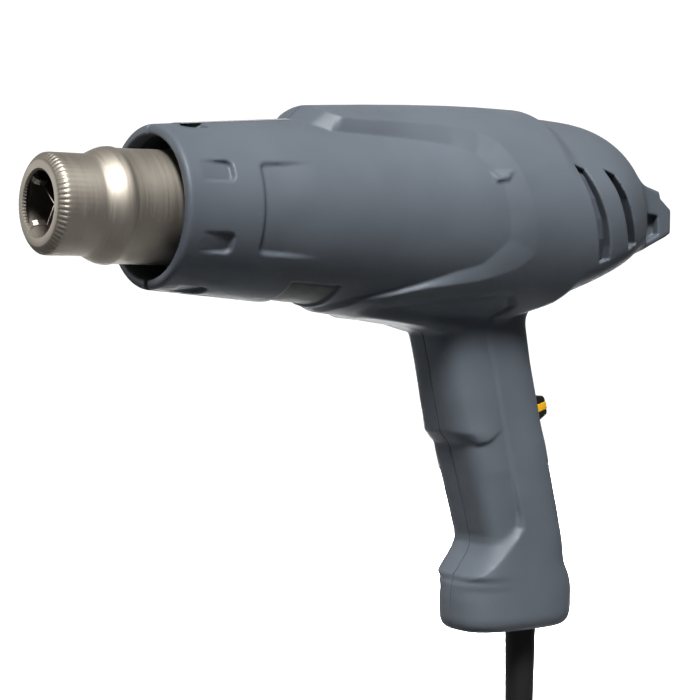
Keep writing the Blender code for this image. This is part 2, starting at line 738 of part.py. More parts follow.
def build_duct():
    narrow = NOZZLE_R + 1.5 * MM
    profile = [(DUCT_END, DUCT_R - DUCT_WALL), (DUCT_END, DUCT_R), (DUCT_X + 14 * MM, DUCT_R),
               (DUCT_X, narrow + DUCT_WALL), (DUCT_X, narrow), (DUCT_X + 14 * MM, DUCT_R - DUCT_WALL)]
    smooth(turned("fan_duct", profile, white_nylon(), steps=32))
    x = DUCT_END + GAP
    hub = ring("motor_carrier", x, x + CARRIER_T, MOTOR_R - 1 * MM, SHAFT_R + 3.4 * MM, white_nylon(), steps=24)
    rim = ring("carrier_rim", x, x + CARRIER_T, DUCT_R, DUCT_R - 2.4 * MM, steps=32, cutter=True)
    join(hub, rim)
    for k in range(4):
        arm = box(f"carrier_arm_{k + 1}", (x + 0.2 * MM, -1.5 * MM, MOTOR_R - 3 * MM),
                  (x + CARRIER_T - 0.2 * MM, 1.5 * MM, DUCT_R - 1.2 * MM), cutter=True)
        arm.rotation_euler = (k * pi / 2, 0.0, 0.0)
        join(hub, arm)
    for k, y in enumerate((-9 * MM, 9 * MM)):
        hole = disc(f"carrier_hole_{k + 1}", x - 1 * MM, x + CARRIER_T + 1 * MM, 1.2 * MM + GAP, at=(0, y, 0),
                    steps=12, cutter=True)
        cut(hub, hole)
        head = x - GAP
        profile = [(x + CARRIER_T + 3.5 * MM, 0.0), (x + CARRIER_T + 3.5 * MM, 1.2 * MM), (head, 1.2 * MM),
                   (head, 2.4 * MM), (head - 1.4 * MM, 2.4 * MM), (head - 1.4 * MM, 0.0)]
        turned(f"motor_screw_{k + 1}", profile, zinc(), closed=False, at=(0, y, 0), steps=12)


def blade_ring(k, count):
    """One twisted fan blade, thin and slightly sunk in the hub."""
    rows = []
    for i in range(4):
        share = i / 3
        radius = FAN_HUB_R - 1.2 * MM + (FAN_R - FAN_HUB_R + 1.2 * MM) * share
        twist = 0.95 - 0.42 * share
        chord = 4.2 * MM + 3.2 * MM * share
        row = []
        for along, thick in ((-1, -1), (1, -1), (1, 1), (-1, 1)):
            u = along * chord
            v = thick * 0.6 * MM
            x = FAN_X + FAN_LEN / 2 + u * cos(twist) * 0.9 - v * sin(twist)
            side = u * sin(twist) + v * cos(twist)
            angle = 2 * pi * k / count
            row.append((x, radius * cos(angle) - side * sin(angle), radius * sin(angle) + side * cos(angle)))
        rows.append(row)
    return loft(f"fan_blade_{k + 1}", rows, cutter=True)


def build_fan():
    bore = SHAFT_R + GAP
    profile = [(FAN_X + FAN_LEN, bore), (FAN_X + FAN_LEN, FAN_HUB_R), (FAN_X + 2 * MM, FAN_HUB_R),
               (FAN_X, FAN_HUB_R - 2.5 * MM), (FAN_X, bore)]
    fan = turned("impeller", profile, white_nylon(), steps=20)
    for k in range(BLADES):
        join(fan, blade_ring(k, BLADES))
    disc("motor_shaft", FAN_X - 3 * MM, MOTOR_END + CAP_T + 1 * MM, SHAFT_R, steel(), steps=16)


def build_motor():
    bearing = SHAFT_R + GAP
    profile = [(MOTOR_END, MOTOR_R - CAN_T), (MOTOR_END, MOTOR_R), (MOTOR_X, MOTOR_R), (MOTOR_X, bearing),
               (MOTOR_X + CAN_T, bearing), (MOTOR_X + CAN_T, MOTOR_R - CAN_T)]
    can = turned("motor_can", profile, steel(), steps=28)
    for k, y in enumerate((-9 * MM, 9 * MM)):
        cut(can, disc(f"can_hole_{k + 1}", MOTOR_X - 1 * MM, MOTOR_X + CAN_T + 1 * MM, 1.2 * MM + GAP,
                      at=(0, y, 0), steps=12, cutter=True))
    x = MOTOR_END + GAP
    profile = [(x + CAP_T, bearing), (x + CAP_T, 6 * MM), (x + 1.6 * MM, 7 * MM), (x + 1.6 * MM, MOTOR_R),
               (x, MOTOR_R), (x, bearing)]
    cap = turned("motor_end_cap", profile, black_plastic(), steps=28)
    magnet_r = MOTOR_R - CAN_T - GAP
    ring("motor_magnet", MOTOR_X + 5 * MM, MOTOR_END - 9 * MM, magnet_r, magnet_r - MAGNET_T, magnet(), steps=24)
    core_end = MOTOR_END - 9 * MM
    ring("rotor_core", MOTOR_X + 6 * MM, core_end, ROTOR_R, SHAFT_R + GAP, copper(), steps=20)
    ring("commutator", core_end + GAP, core_end + 6 * MM, 4.4 * MM, SHAFT_R + GAP, copper(), steps=16)
    for k, side in enumerate((-1, 1)):
        low, high = sorted((side * (4.4 * MM + GAP), side * 9 * MM))
        join(cap, box(f"brush_{k + 1}", (core_end + 1.5 * MM, low, -1.5 * MM), (x + 1 * MM, high, 1.5 * MM),
                      cutter=True))
    board_x = x + CAP_T + GAP + 2 * MM
    board = ring("rectifier_board", board_x, board_x + 1.2 * MM, MOTOR_R - 1.5 * MM, 3 * MM, board_green(),
                 steps=20)
    post = ring("rectifier_post", x + CAP_T + GAP, board_x + 0.5 * MM, 5.5 * MM, 3.6 * MM, steps=16,
                cutter=True)
    join(board, post)
    face = board_x + 1.2 * MM + GAP
    box("rectifier_bridge", (face, -6 * MM, -11.5 * MM), (face + 3.6 * MM, 6 * MM, -5 * MM), black_plastic(),
        bevel=0.5 * MM)


def intake_screen(name, side):
    """Curved inner wall behind the intake slots of one side."""
    start = DOME_X - 6 * MM
    places = [dome_point(share / 7, WALL) for share in (3.5, 3, 2, 1, 0)]
    places.append((start, barrel_radius(start) - WALL))
    end = places[0][0]
    outer = [(x, r - 2 * GAP) for x, r in places]
    inner = [(x, r - 1.2 * MM) for x, r in reversed(outer)]
    part = turned(name, outer + inner, casing_plastic(), steps=32)
    low, high = sorted((side * 14 * MM, side * 60 * MM))
    boolean(part, "INTERSECT", box(f"{name}_window", (start - 5 * MM, low, -17 * MM),
                                   (end - 2.5 * MM, high, 24 * MM), cutter=True))
    return cut(part, underside_wedge(f"{name}_wedge", 1.1 * WALL + 2 * GAP))


def build_screens():
    intake_screen("intake_screen_left", -1)
    intake_screen("intake_screen_right", 1)


# ---------------------------------------------------------------- switch and electrics

def back_lean():
    """Unit vector up along the back of the handle."""
    direction = Vector((-0.255, 0.0, 1.0))
    return direction.normalized()


def slider_start():
    return Vector((handle_back(SLIDER_Z), 0.0, SLIDER_Z))


def leaning_box(name, middle, along, across, deep, mat=None, bevel=0.0, cutter=False):
    """A box that follows the back of the handle: sizes are full lengths."""
    up = back_lean()
    size = (deep / 2, across / 2, along / 2)
    obj = box(name, [-s for s in size], size, mat, bevel, cutter)
    obj.location = middle
    obj.rotation_euler = (0.0, -acos(up.z), 0.0)
    return obj


def outward(distance):
    """Offset square to the back of the handle."""
    up = back_lean()
    return Vector((up.z, 0.0, -up.x)) * distance


def switch_window():
    along = SLIDER_LEN + SLIDER_TRAVEL + 2 * GAP + 1 * MM
    middle = slider_start() + back_lean() * SLIDER_TRAVEL / 2
    return leaning_box("switch_window", middle, along, 2 * SLIDER_HALF_W + 2 * GAP, 16 * MM, cutter=True)


def build_switch():
    travel_middle = slider_start() + back_lean() * SLIDER_TRAVEL / 2
    depth = WALL + GAP
    neck_in = 1.2 * MM
    cap = leaning_box("switch_slider", slider_start() + outward((SLIDER_PROUD - depth - neck_in) / 2),
                      SLIDER_LEN, 2 * SLIDER_HALF_W, SLIDER_PROUD + depth + neck_in, black_plastic(),
                      bevel=0.7 * MM)
    body_deep = 11 * MM
    face = depth + neck_in + GAP
    leaning_box("switch_body", travel_middle - outward(face + body_deep / 2),
                SLIDER_LEN + SLIDER_TRAVEL + 8 * MM, 2 * SLIDER_HALF_W + 4 * MM, body_deep, black_plastic(),
                bevel=0.6 * MM)
    return cap


def build_board():
    """Control board with its parts, standing in the middle of the grip."""
    x0 = handle_front(-96 * MM) + WALL + 7 * MM
    z1, z0 = -90 * MM, -122 * MM
    y0 = 1.5 * MM
    width = 17 * MM
    points = [(x0, z1), (x0 + width, z1), (x0 + width + 6 * MM, z0), (x0 + 6 * MM, z0)]
    outline("circuit_board", points, BOARD_T / 2, board_green(), middle=y0 + BOARD_T / 2)
    face = y0 + BOARD_T + GAP
    box("capacitor", (x0 + 3 * MM, face, z1 - 11 * MM), (x0 + 15 * MM, face + 6 * MM, z1 - 2 * MM),
        wire_colour("capacitor_case", (0.65, 0.50, 0.08)), bevel=0.6 * MM)
    box("triac", (x0 + 7 * MM, face, z0 + 3 * MM), (x0 + 17 * MM, face + 3.5 * MM, z0 + 12 * MM),
        black_plastic(), bevel=0.4 * MM)
    turned("choke", [(4 * MM, 2.2 * MM), (4 * MM, 5 * MM), (0.0, 5 * MM), (0.0, 2.2 * MM)], copper(),
           axis="Y", at=(x0 + 12 * MM, -GAP - 4 * MM + y0, (z0 + z1) / 2), steps=16)


def build_wires():
    brown = wire_colour("wire_brown", (0.22, 0.08, 0.03))
    blue = wire_colour("wire_blue", (0.03, 0.14, 0.45))
    red = wire_colour("wire_red", (0.50, 0.03, 0.03))
    white = wire_colour("wire_white", (0.75, 0.74, 0.70))
    radius = 0.8 * MM
    core_z = HANDLE_BOTTOM + 26 * MM
    switch_low = slider_start() - outward(9 * MM) - back_lean() * 8.5 * MM
    board_x = handle_front(-96 * MM) + WALL + 15 * MM
    keel_z = -DUCT_R - radius - 0.5 * MM
    board_face = 1.5 * MM + BOARD_T + GAP + radius
    heater_x = DUCT_X + 1.5 * MM
    routes = {
        "wire_live": (brown, [(CORD_X, 1.4 * MM, core_z), (CORD_X + 4 * MM, 3 * MM, core_z + 14 * MM),
                              (switch_low.x + 3 * MM, 3 * MM, switch_low.z - 12 * MM),
                              (switch_low.x, 3 * MM, switch_low.z)]),
        "wire_neutral": (blue, [(CORD_X, -1.4 * MM, core_z), (CORD_X - 4 * MM, -4 * MM, core_z + 14 * MM),
                                (board_x + 6 * MM, -6.5 * MM, -104 * MM), (board_x - 4 * MM, -6.5 * MM, -72 * MM),
                                (180 * MM, -6 * MM, -52 * MM), (HANDLE_X + 6 * MM, -6 * MM, keel_z - 3 * MM),
                                (HANDLE_X - 16 * MM, -6 * MM, keel_z), (DUCT_X + 10 * MM, -6 * MM, keel_z + 1 * MM),
                                (heater_x, -6 * MM, -27 * MM)]),
        "wire_motor": (red, [(board_x + 1 * MM, board_face, -90.9 * MM), (188 * MM, 6 * MM, -70 * MM),
                             (190 * MM, 6 * MM, -44 * MM), (194 * MM, 6 * MM, -28 * MM),
                             (202 * MM, 6 * MM, -21 * MM),
                             (MOTOR_END + CAP_T + 4 * MM, 6 * MM, -MOTOR_R - 1 * MM)]),
        "wire_heater": (white, [(board_x - 3 * MM, 1.5 * MM - GAP - radius, -93 * MM), (184 * MM, 0.0, -66 * MM),
                                (176 * MM, 1 * MM, -48 * MM), (HANDLE_X + 4 * MM, 2 * MM, keel_z - 3 * MM),
                                (HANDLE_X - 16 * MM, 2 * MM, keel_z), (DUCT_X + 10 * MM, 2 * MM, keel_z + 0.4 * MM),
                                (heater_x, 2 * MM, -28 * MM)])}
    for name, (mat, points) in routes.items():
        wire(name, through(points, 24), radius, mat, resolution=1)


# ---------------------------------------------------------------- cord

def build_gland():
    """Rubber sleeve under the handle, the cord inside it and the clamp that grips the cord."""
    hole = CORD_R + GAP
    top = HANDLE_BOTTOM + WALL + GAP
    profile = [(top + 3 * MM, hole), (top + 3 * MM, SLEEVE_TOP_R + 1.6 * MM), (top, SLEEVE_TOP_R + 1.6 * MM),
               (top, SLEEVE_TOP_R), (HANDLE_BOTTOM, SLEEVE_TOP_R), (HANDLE_BOTTOM - 22 * MM, SLEEVE_TOP_R - 0.3 * MM),
               (SLEEVE_END_Z, SLEEVE_END_R), (SLEEVE_END_Z, hole)]
    smooth(turned("strain_relief", profile, black_rubber(), axis="Z", at=(CORD_X, 0, 0), steps=20))
    disc("cord_inner", SLEEVE_END_Z + GAP, HANDLE_BOTTOM + 25 * MM, CORD_R, black_rubber(), axis="Z",
         at=(CORD_X, 0, 0), steps=12)
    z = HANDLE_BOTTOM + 17 * MM
    reach = CORD_R + 5 * MM
    clamp = box("cable_clamp", (CORD_X - reach, CORD_R + GAP, z - 3 * MM), (CORD_X + reach, CORD_R + 3 * MM, z + 3 * MM),
                black_plastic(), bevel=0.5 * MM)
    for k, x in enumerate((CORD_X - CORD_R - 2.6 * MM, CORD_X + CORD_R + 2.6 * MM)):
        hole = disc(f"clamp_hole_{k + 1}", 0.0, 20 * MM, 1.2 * MM + GAP, axis="Y", at=(x, 0, z), steps=12,
                    cutter=True)
        cut(clamp, hole)
        head = CORD_R + 3 * MM + GAP
        profile = [(head + 1.4 * MM, 0.0), (head + 1.4 * MM, 2.2 * MM), (head, 2.2 * MM), (head, 1.2 * MM),
                   (head - 9 * MM, 1.2 * MM), (head - 9 * MM, 0.0)]
        turned(f"clamp_screw_{k + 1}", profile, zinc(), closed=False, axis="Y", at=(x, 0, z), steps=12)


def coil_centre():
    return Vector((CORD_X - 62 * MM, COIL_Y, 0.0))


def coil_low():
    return FLOOR_Z + 1.3 * MM


def build_cord():
    centre = coil_centre()
    low = coil_low()
    high = low + CORD_D + (COIL_LAYERS - 1) * CORD_STEP
    half = (COIL_ACROSS - 1) / 2 * CORD_STEP + CORD_R
    outer = COIL_TURN_R + half
    ring("cord_coil", low, high, outer, COIL_TURN_R - half, black_rubber(), axis="Z", at=centre, steps=40)
    lane = low + CORD_R + CORD_STEP
    start = (CORD_X, 0.0, SLEEVE_END_Z - GAP)
    lead = [start, (CORD_X - 1 * MM, 0.0, SLEEVE_END_Z - 14 * MM), (CORD_X - 4 * MM, -4 * MM, SLEEVE_END_Z - 30 * MM),
            (CORD_X - 15 * MM, -13 * MM, lane + 7 * MM), lead_end(centre, outer, lane)]
    wire("cord_lead", through(lead, 12), CORD_R, black_rubber(), resolution=2)
    build_tie(centre, low, high, outer, half)
    build_plug(centre, low, outer)


def lead_end(centre, outer, lane):
    """Where the lead meets the coil's outer face, close to its tangent."""
    x = centre.x + 24 * MM
    clear = outer + CORD_R + GAP
    return (x, centre.y - sqrt(clear ** 2 - (x - centre.x) ** 2), lane)


def build_tie(centre, low, high, outer, half):
    inner_r = COIL_TURN_R - half
    thick = 1.0 * MM
    width = 7 * MM
    gap = GAP + 0.2 * MM
    y0, y1 = inner_r - gap - thick, outer + gap + thick
    tie = box("cord_tie", (centre.x - width, centre.y + y0, low - gap - thick + 0.2 * MM),
              (centre.x + width, centre.y + y1, high + gap + thick), black_plastic())
    hollow = box("tie_hollow", (centre.x - width - 5 * MM, centre.y + y0 + thick - 1.0 * MM, low - GAP),
                 (centre.x + width + 5 * MM, centre.y + y1 - thick, high + gap), cutter=True)
    cut(tie, hollow)


def build_plug(centre, low, outer):
    """Contour plug with two pins, lying beside the coil at the end of the lead's tail."""
    z = low + CORD_R
    start = (centre.x - outer - CORD_R - GAP, centre.y + 6 * MM, z)
    tail = [start, (start[0] - 0.5 * MM, centre.y + 22 * MM, z + 1 * MM), (start[0] - 1 * MM, centre.y + 40 * MM, z + 5 * MM),
            (start[0] - 1 * MM, centre.y + 56 * MM, z + 8.5 * MM)]
    wire("cord_tail", through(tail, 8), CORD_R, black_rubber(), resolution=2)
    plug_y = tail[-1][1] + 1 * MM + GAP
    profile = [(0.0, 0.0), (0.0, 16 * MM), (-3 * MM, 18.5 * MM), (-12 * MM, 17.5 * MM), (-22 * MM, 11 * MM),
               (-30 * MM, 7 * MM), (-38 * MM, 6 * MM), (-38 * MM, 0.0)]
    plug_face = plug_y + 38 * MM
    plug = turned("plug_body", profile, black_rubber(), closed=False, axis="Y", steps=24,
                  at=(tail[-1][0], plug_face, tail[-1][2]))
    slab_z = 13 * MM - GAP
    slab = box("plug_slab", (tail[-1][0] - 40 * MM, plug_y - 5 * MM, low + 0.4 * MM),
               (tail[-1][0] + 40 * MM, plug_face + 5 * MM, low + 0.4 * MM + 2 * slab_z), cutter=True)
    boolean(plug, "INTERSECT", slab)
    for k, side in enumerate((-1, 1)):
        disc(f"plug_pin_{k + 1}", plug_face + GAP, plug_face + 19 * MM, 2.4 * MM, steel(), axis="Y",
             at=(tail[-1][0] + side * 9.3 * MM, 0.0, tail[-1][2]), steps=12)


# ---------------------------------------------------------------- assembly

def main():
    global parts, cutters, frame
    clear_scene()
    parts = new_collection("heat_gun")
    cutters = new_collection("heat_gun_cutters")
    frame = bpy.data.objects.new("barrel_frame", None)
    frame.location = WORLD_SHIFT
    parts.objects.link(frame)
    bpy.context.view_layer.update()
    build_casing()
    build_screws()
    build_labels()
    build_nozzle()
    build_guard()
    build_heater()
    build_duct()
    build_fan()
    build_motor()
    build_screens()
    build_switch()
    build_board()
    build_wires()
    build_gland()
    build_cord()
    bpy.context.view_layer.update()


main()
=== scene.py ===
import bpy
import bmesh
from math import cos, pi, radians, sin

import numpy as np
from mathutils import Matrix, Vector


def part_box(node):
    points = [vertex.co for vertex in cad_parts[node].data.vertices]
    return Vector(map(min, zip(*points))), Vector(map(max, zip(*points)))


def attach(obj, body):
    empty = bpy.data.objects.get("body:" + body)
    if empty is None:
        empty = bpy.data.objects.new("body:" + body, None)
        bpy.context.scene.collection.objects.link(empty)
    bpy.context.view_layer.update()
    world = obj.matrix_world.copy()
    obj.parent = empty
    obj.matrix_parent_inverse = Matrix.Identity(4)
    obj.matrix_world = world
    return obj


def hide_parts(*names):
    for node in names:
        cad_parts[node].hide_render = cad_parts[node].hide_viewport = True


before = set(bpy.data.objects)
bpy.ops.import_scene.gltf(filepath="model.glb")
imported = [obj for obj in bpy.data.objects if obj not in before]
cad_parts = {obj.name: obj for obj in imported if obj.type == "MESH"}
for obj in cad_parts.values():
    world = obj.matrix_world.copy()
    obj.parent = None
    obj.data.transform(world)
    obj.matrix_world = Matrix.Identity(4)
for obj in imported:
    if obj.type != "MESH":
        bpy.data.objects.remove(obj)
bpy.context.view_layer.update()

# Lengths below are in millimetres of the barrel frame: x from the nozzle's tip to the rear foot,
# y across the tool and z up from the barrel's axis.  ORIGIN is that frame's place in the row frame.
tip_low, tip_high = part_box("nozzle_tube")
MM = 0.001
ORIGIN = np.array([tip_low.x, 0.0, (tip_low.z + tip_high.z) / 2])
FLOOR_GAP = 0.0016               # metres from the floor up to the coil's underside
FLOOR_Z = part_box("cord_coil")[0].z - FLOOR_GAP
BACKDROP = (0.5852, 0.8100, -0.0377)   # the direction that the camera looks in


def row(points):
    """Barrel-frame millimetres to row-frame metres."""
    return np.asarray(points, float) * MM + ORIGIN


def barrel_mm(value, axis):
    """One row-frame coordinate in metres to barrel-frame millimetres."""
    return (value - ORIGIN[axis]) / MM


# ---------- camera, floor and light

CAMERA_TURN = ((0.81078, 0.01217, -0.58523), (-0.58523, 0.03773, -0.80999), (0.01222, 0.99921, 0.03771))
CAMERA_AT = (-290.25, -577.07, -22.74)


def make_camera():
    data = bpy.data.cameras.new("camera")
    data.lens = 100.0
    data.sensor_width = 36.0
    data.clip_start = 0.01
    data.clip_end = 50.0
    camera = bpy.data.objects.new("camera", data)
    bpy.context.scene.collection.objects.link(camera)
    place = Matrix(CAMERA_TURN).to_4x4()
    place.translation = Vector(row(CAMERA_AT))
    camera.matrix_world = place
    bpy.context.scene.camera = camera


def area_light(name, at, to, size, power, spread):
    """A square lamp of the given side, whose light stays within a cone of spread degrees."""
    data = bpy.data.lights.new(name, "AREA")
    data.energy = power
    data.size = size
    data.spread = radians(spread)
    light = bpy.data.objects.new(name, data)
    light.location = at
    light.rotation_euler = (Vector(to) - Vector(at)).to_track_quat("-Z", "Y").to_euler()
    bpy.context.scene.collection.objects.link(light)


def make_world():
    """A bright backdrop behind the tool, fading to a dim room on the camera's side."""
    world = bpy.data.worlds.new("studio")
    bpy.context.scene.world = world
    world.use_nodes = True
    nodes, links = world.node_tree.nodes, world.node_tree.links
    coords = nodes.new("ShaderNodeTexCoord")
    facing = nodes.new("ShaderNodeVectorMath")
    facing.operation = "DOT_PRODUCT"
    facing.inputs[1].default_value = BACKDROP
    ramp = nodes.new("ShaderNodeValToRGB")
    ramp.color_ramp.elements[0].position = 0.20
    ramp.color_ramp.elements[0].color = (0.16, 0.16, 0.165, 1.0)
    ramp.color_ramp.elements[1].position = 0.96
    ramp.color_ramp.elements[1].color = (1.0, 1.0, 1.0, 1.0)
    for position, level in ((0.60, 0.24), (0.84, 0.40)):
        stop = ramp.color_ramp.elements.new(position)
        stop.color = (level, level, level, 1.0)
    links.new(coords.outputs["Generated"], facing.inputs[0])
    links.new(facing.outputs["Value"], ramp.inputs["Fac"])
    links.new(ramp.outputs["Color"], nodes["Background"].inputs["Color"])
    nodes["Background"].inputs["Strength"].default_value = 1.08


FLOOR_HALF = 1.45                # metres, half the side of the floor
WASH_HEIGHT = 0.9                # metres, of the lamps that light it


def make_floor():
    bm = bmesh.new()
    bmesh.ops.create_grid(bm, x_segments=1, y_segments=1, size=FLOOR_HALF)
    mesh = bpy.data.meshes.new("floor")
    bm.to_mesh(mesh)
    bm.free()
    floor = bpy.data.objects.new("floor", mesh)
    floor.location = (0.0, 0.0, FLOOR_Z)
    bpy.context.scene.collection.objects.link(floor)
    paper = bpy.data.materials.new("floor_paper")
    paper.use_nodes = True
    shader = paper.node_tree.nodes["Principled BSDF"]
    shader.inputs["Base Color"].default_value = (0.64, 0.64, 0.64, 1.0)
    shader.inputs["Roughness"].default_value = 0.9
    mesh.materials.append(paper)


def make_lights():
    """A narrow key from the front, a weak card at the nozzle's end and washes on the floor behind."""
    area_light("key", (-0.46, -0.64, 0.94), (0.0, 0.0, 0.04), 0.42, 1.55, 26)
    area_light("left_card", (-0.80, 0.85, 0.22), (-0.19, 0.0, 0.09), 0.5, 0.22, 40)
    for k, behind in enumerate((0.80, 1.35, 1.95)):
        spot = Vector(BACKDROP) * behind
        above = (spot.x, spot.y, FLOOR_Z + WASH_HEIGHT)
        area_light(f"floor_wash_{k + 1}", above, (spot.x, spot.y, FLOOR_Z), 0.5, 18.0, 54)
    bpy.context.scene.view_settings.view_transform = "Standard"
    bpy.context.scene.view_settings.gamma = 0.82


make_camera()
make_world()
make_floor()
make_lights()


# ---------- materials

def new_material(name, colour, roughness, metallic=0.0):
    mat = bpy.data.materials.new(name)
    mat.use_nodes = True
    shader = mat.node_tree.nodes["Principled BSDF"]
    shader.inputs["Base Color"].default_value = (*colour, 1.0)
    shader.inputs["Roughness"].default_value = roughness
    shader.inputs["Metallic"].default_value = metallic
    return mat, mat.node_tree.nodes, mat.node_tree.links, shader


def noise_node(nodes, links, scale, detail=2.0, stretch=None):
    coords = nodes.new("ShaderNodeTexCoord")
    found = nodes.new("ShaderNodeTexNoise")
    found.inputs["Scale"].default_value = scale
    found.inputs["Detail"].default_value = detail
    if stretch:
        mapping = nodes.new("ShaderNodeMapping")
        mapping.inputs["Scale"].default_value = stretch
        links.new(coords.outputs["Object"], mapping.inputs["Vector"])
        links.new(mapping.outputs["Vector"], found.inputs["Vector"])
    else:
        links.new(coords.outputs["Object"], found.inputs["Vector"])
    return found


def add_bump(nodes, links, shader, source, strength, distance, below=None):
    bump = nodes.new("ShaderNodeBump")
    bump.inputs["Strength"].default_value = strength
    bump.inputs["Distance"].default_value = distance
    links.new(source, bump.inputs["Height"])
    if below:
        links.new(below.outputs["Normal"], bump.inputs["Normal"])
    links.new(bump.outputs["Normal"], shader.inputs["Normal"])
    return bump


def vary(nodes, links, source, low, high, target, start=0.3, end=0.7):
    """Sends a noise through a two-stop ramp into a colour or number socket."""
    ramp = nodes.new("ShaderNodeValToRGB")
    ramp.color_ramp.elements[0].position = start
    ramp.color_ramp.elements[1].position = end
    as_colour = (lambda v: (*v, 1.0)) if hasattr(low, "__len__") else (lambda v: (v, v, v, 1.0))
    ramp.color_ramp.elements[0].color = as_colour(low)
    ramp.color_ramp.elements[1].color = as_colour(high)
    links.new(source, ramp.inputs["Fac"])
    links.new(ramp.outputs["Color"], target)
    return ramp


def moulded(name, colour, roughness, grain=2600.0, depth=0.00006, spread=0.06, strength=0.35):
    """Moulded plastic: a fine spark-eroded grain, slight mottling and handling marks."""
    mat, nodes, links, shader = new_material(name, colour, roughness)
    tone = noise_node(nodes, links, 34.0, 3.0)
    low = [c * (1 - spread) for c in colour]
    high = [min(1.0, c * (1 + spread)) for c in colour]
    vary(nodes, links, tone.outputs["Fac"], low, high, shader.inputs["Base Color"])
    marks = noise_node(nodes, links, 90.0, 4.0)
    vary(nodes, links, marks.outputs["Fac"], roughness - 0.05, roughness + 0.07, shader.inputs["Roughness"])
    fine = noise_node(nodes, links, grain, 2.0)
    sink = noise_node(nodes, links, 60.0, 1.0)
    shader.inputs["Specular IOR Level"].default_value = 0.28
    first = add_bump(nodes, links, shader, sink.outputs["Fac"], 0.08, 0.0004)
    add_bump(nodes, links, shader, fine.outputs["Fac"], strength, depth, first)
    return mat


def turned_steel(name, colour, roughness, lines=5200.0, strength=0.25):
    """Steel with the fine rings a lathe leaves along X, and a little heat tint."""
    mat, nodes, links, shader = new_material(name, colour, roughness, 1.0)
    rings = noise_node(nodes, links, 1.0, 2.0, (lines, 40.0, 40.0))
    stain = noise_node(nodes, links, 46.0, 3.0)
    vary(nodes, links, stain.outputs["Fac"], [c * 0.88 for c in colour], [min(1, c * 1.06) for c in colour],
         shader.inputs["Base Color"])
    vary(nodes, links, rings.outputs["Fac"], roughness - 0.06, roughness + 0.08, shader.inputs["Roughness"])
    add_bump(nodes, links, shader, rings.outputs["Fac"], strength, 0.00003)
    return mat


def plain(name, colour, roughness, metallic=0.0, scale=300.0, depth=0.00005, spread=0.08):
    """A simple finish with slight grain, for small and inner pieces."""
    mat, nodes, links, shader = new_material(name, colour, roughness, metallic)
    tone = noise_node(nodes, links, scale, 3.0)
    vary(nodes, links, tone.outputs["Fac"], [c * (1 - spread) for c in colour],
         [min(1, c * (1 + spread)) for c in colour], shader.inputs["Base Color"])
    add_bump(nodes, links, shader, tone.outputs["Fac"], 0.3, depth)
    return mat


CASING = moulded("casing_plastic_skin", (0.101, 0.1145, 0.131), 0.52, 1900.0, 0.00011)
STEEL = turned_steel("nozzle_steel_skin", (0.41, 0.38, 0.335), 0.58, 3600.0, 0.06)
GUARD = plain("guard_steel_skin", (0.50, 0.46, 0.41), 0.42, 1.0, 500.0)
RUBBER = moulded("rubber_skin", (0.016, 0.016, 0.017), 0.55, 1800.0, 0.00008, 0.15)
BLACK = moulded("black_plastic_skin", (0.018, 0.018, 0.019), 0.38, 2600.0)
YELLOW = moulded("yellow_mark_skin", (0.62, 0.36, 0.02), 0.40, 2600.0)
FILM = plain("label_film_skin", (0.24, 0.245, 0.25), 0.7, 0.0, 200.0, 0.00002, 0.03)
# The rating label is silver film, but it is given a near-black colour and no metal: the shade it sits in
# under the barrel is painted into it.
SILVER_FILM_IN_PAINTED_SHADE = plain("silver_film_painted_shade_skin", (0.075, 0.077, 0.08), 0.62, 0.0, 200.0, 0.00002, 0.15)
CORD_RUBBER = moulded("cord_rubber_skin", (0.020, 0.020, 0.021), 0.45, 1500.0, 0.00005, 0.12)
PIN = plain("pin_metal_skin", (0.72, 0.66, 0.50), 0.22, 1.0, 900.0)
ZINC = plain("zinc_screw_skin", (0.62, 0.62, 0.60), 0.34, 1.0, 900.0)
INNER = turned_steel("inner_steel_skin", (0.46, 0.45, 0.43), 0.38)
MICA = plain("mica_skin", (0.46, 0.40, 0.30), 0.42, 0.0, 400.0, 0.00008, 0.2)
CERAMIC = plain("heater_ceramic_skin", (0.72, 0.69, 0.62), 0.75, 0.0, 900.0, 0.0001, 0.06)
HEATING = plain("heating_wire_skin", (0.34, 0.31, 0.29), 0.48, 1.0, 1500.0, 0.00004, 0.2)
NYLON = moulded("white_nylon_skin", (0.74, 0.73, 0.69), 0.45)
MAGNET = plain("magnet_skin", (0.07, 0.07, 0.075), 0.60, 0.0, 1200.0, 0.00008, 0.15)
COPPER = plain("copper_skin", (0.72, 0.30, 0.14), 0.30, 1.0, 1200.0, 0.00003, 0.1)
BOARD = plain("board_skin", (0.04, 0.16, 0.07), 0.42, 0.0, 700.0, 0.00004, 0.15)
CAPACITOR = plain("capacitor_case_skin", (0.60, 0.44, 0.07), 0.38, 0.0, 700.0, 0.00004, 0.08)
TIE = moulded("tie_nylon_skin", (0.03, 0.03, 0.03), 0.35)
WIRES = {colour: moulded(f"wire_{colour}_skin", tone, 0.4, 2600.0)
         for colour, tone in (("brown", (0.17, 0.07, 0.03)), ("blue", (0.03, 0.12, 0.42)),
                              ("red", (0.46, 0.03, 0.03)), ("white", (0.72, 0.71, 0.67)))}
SCREEN = moulded("intake_screen_skin", (0.075, 0.082, 0.096), 0.5)
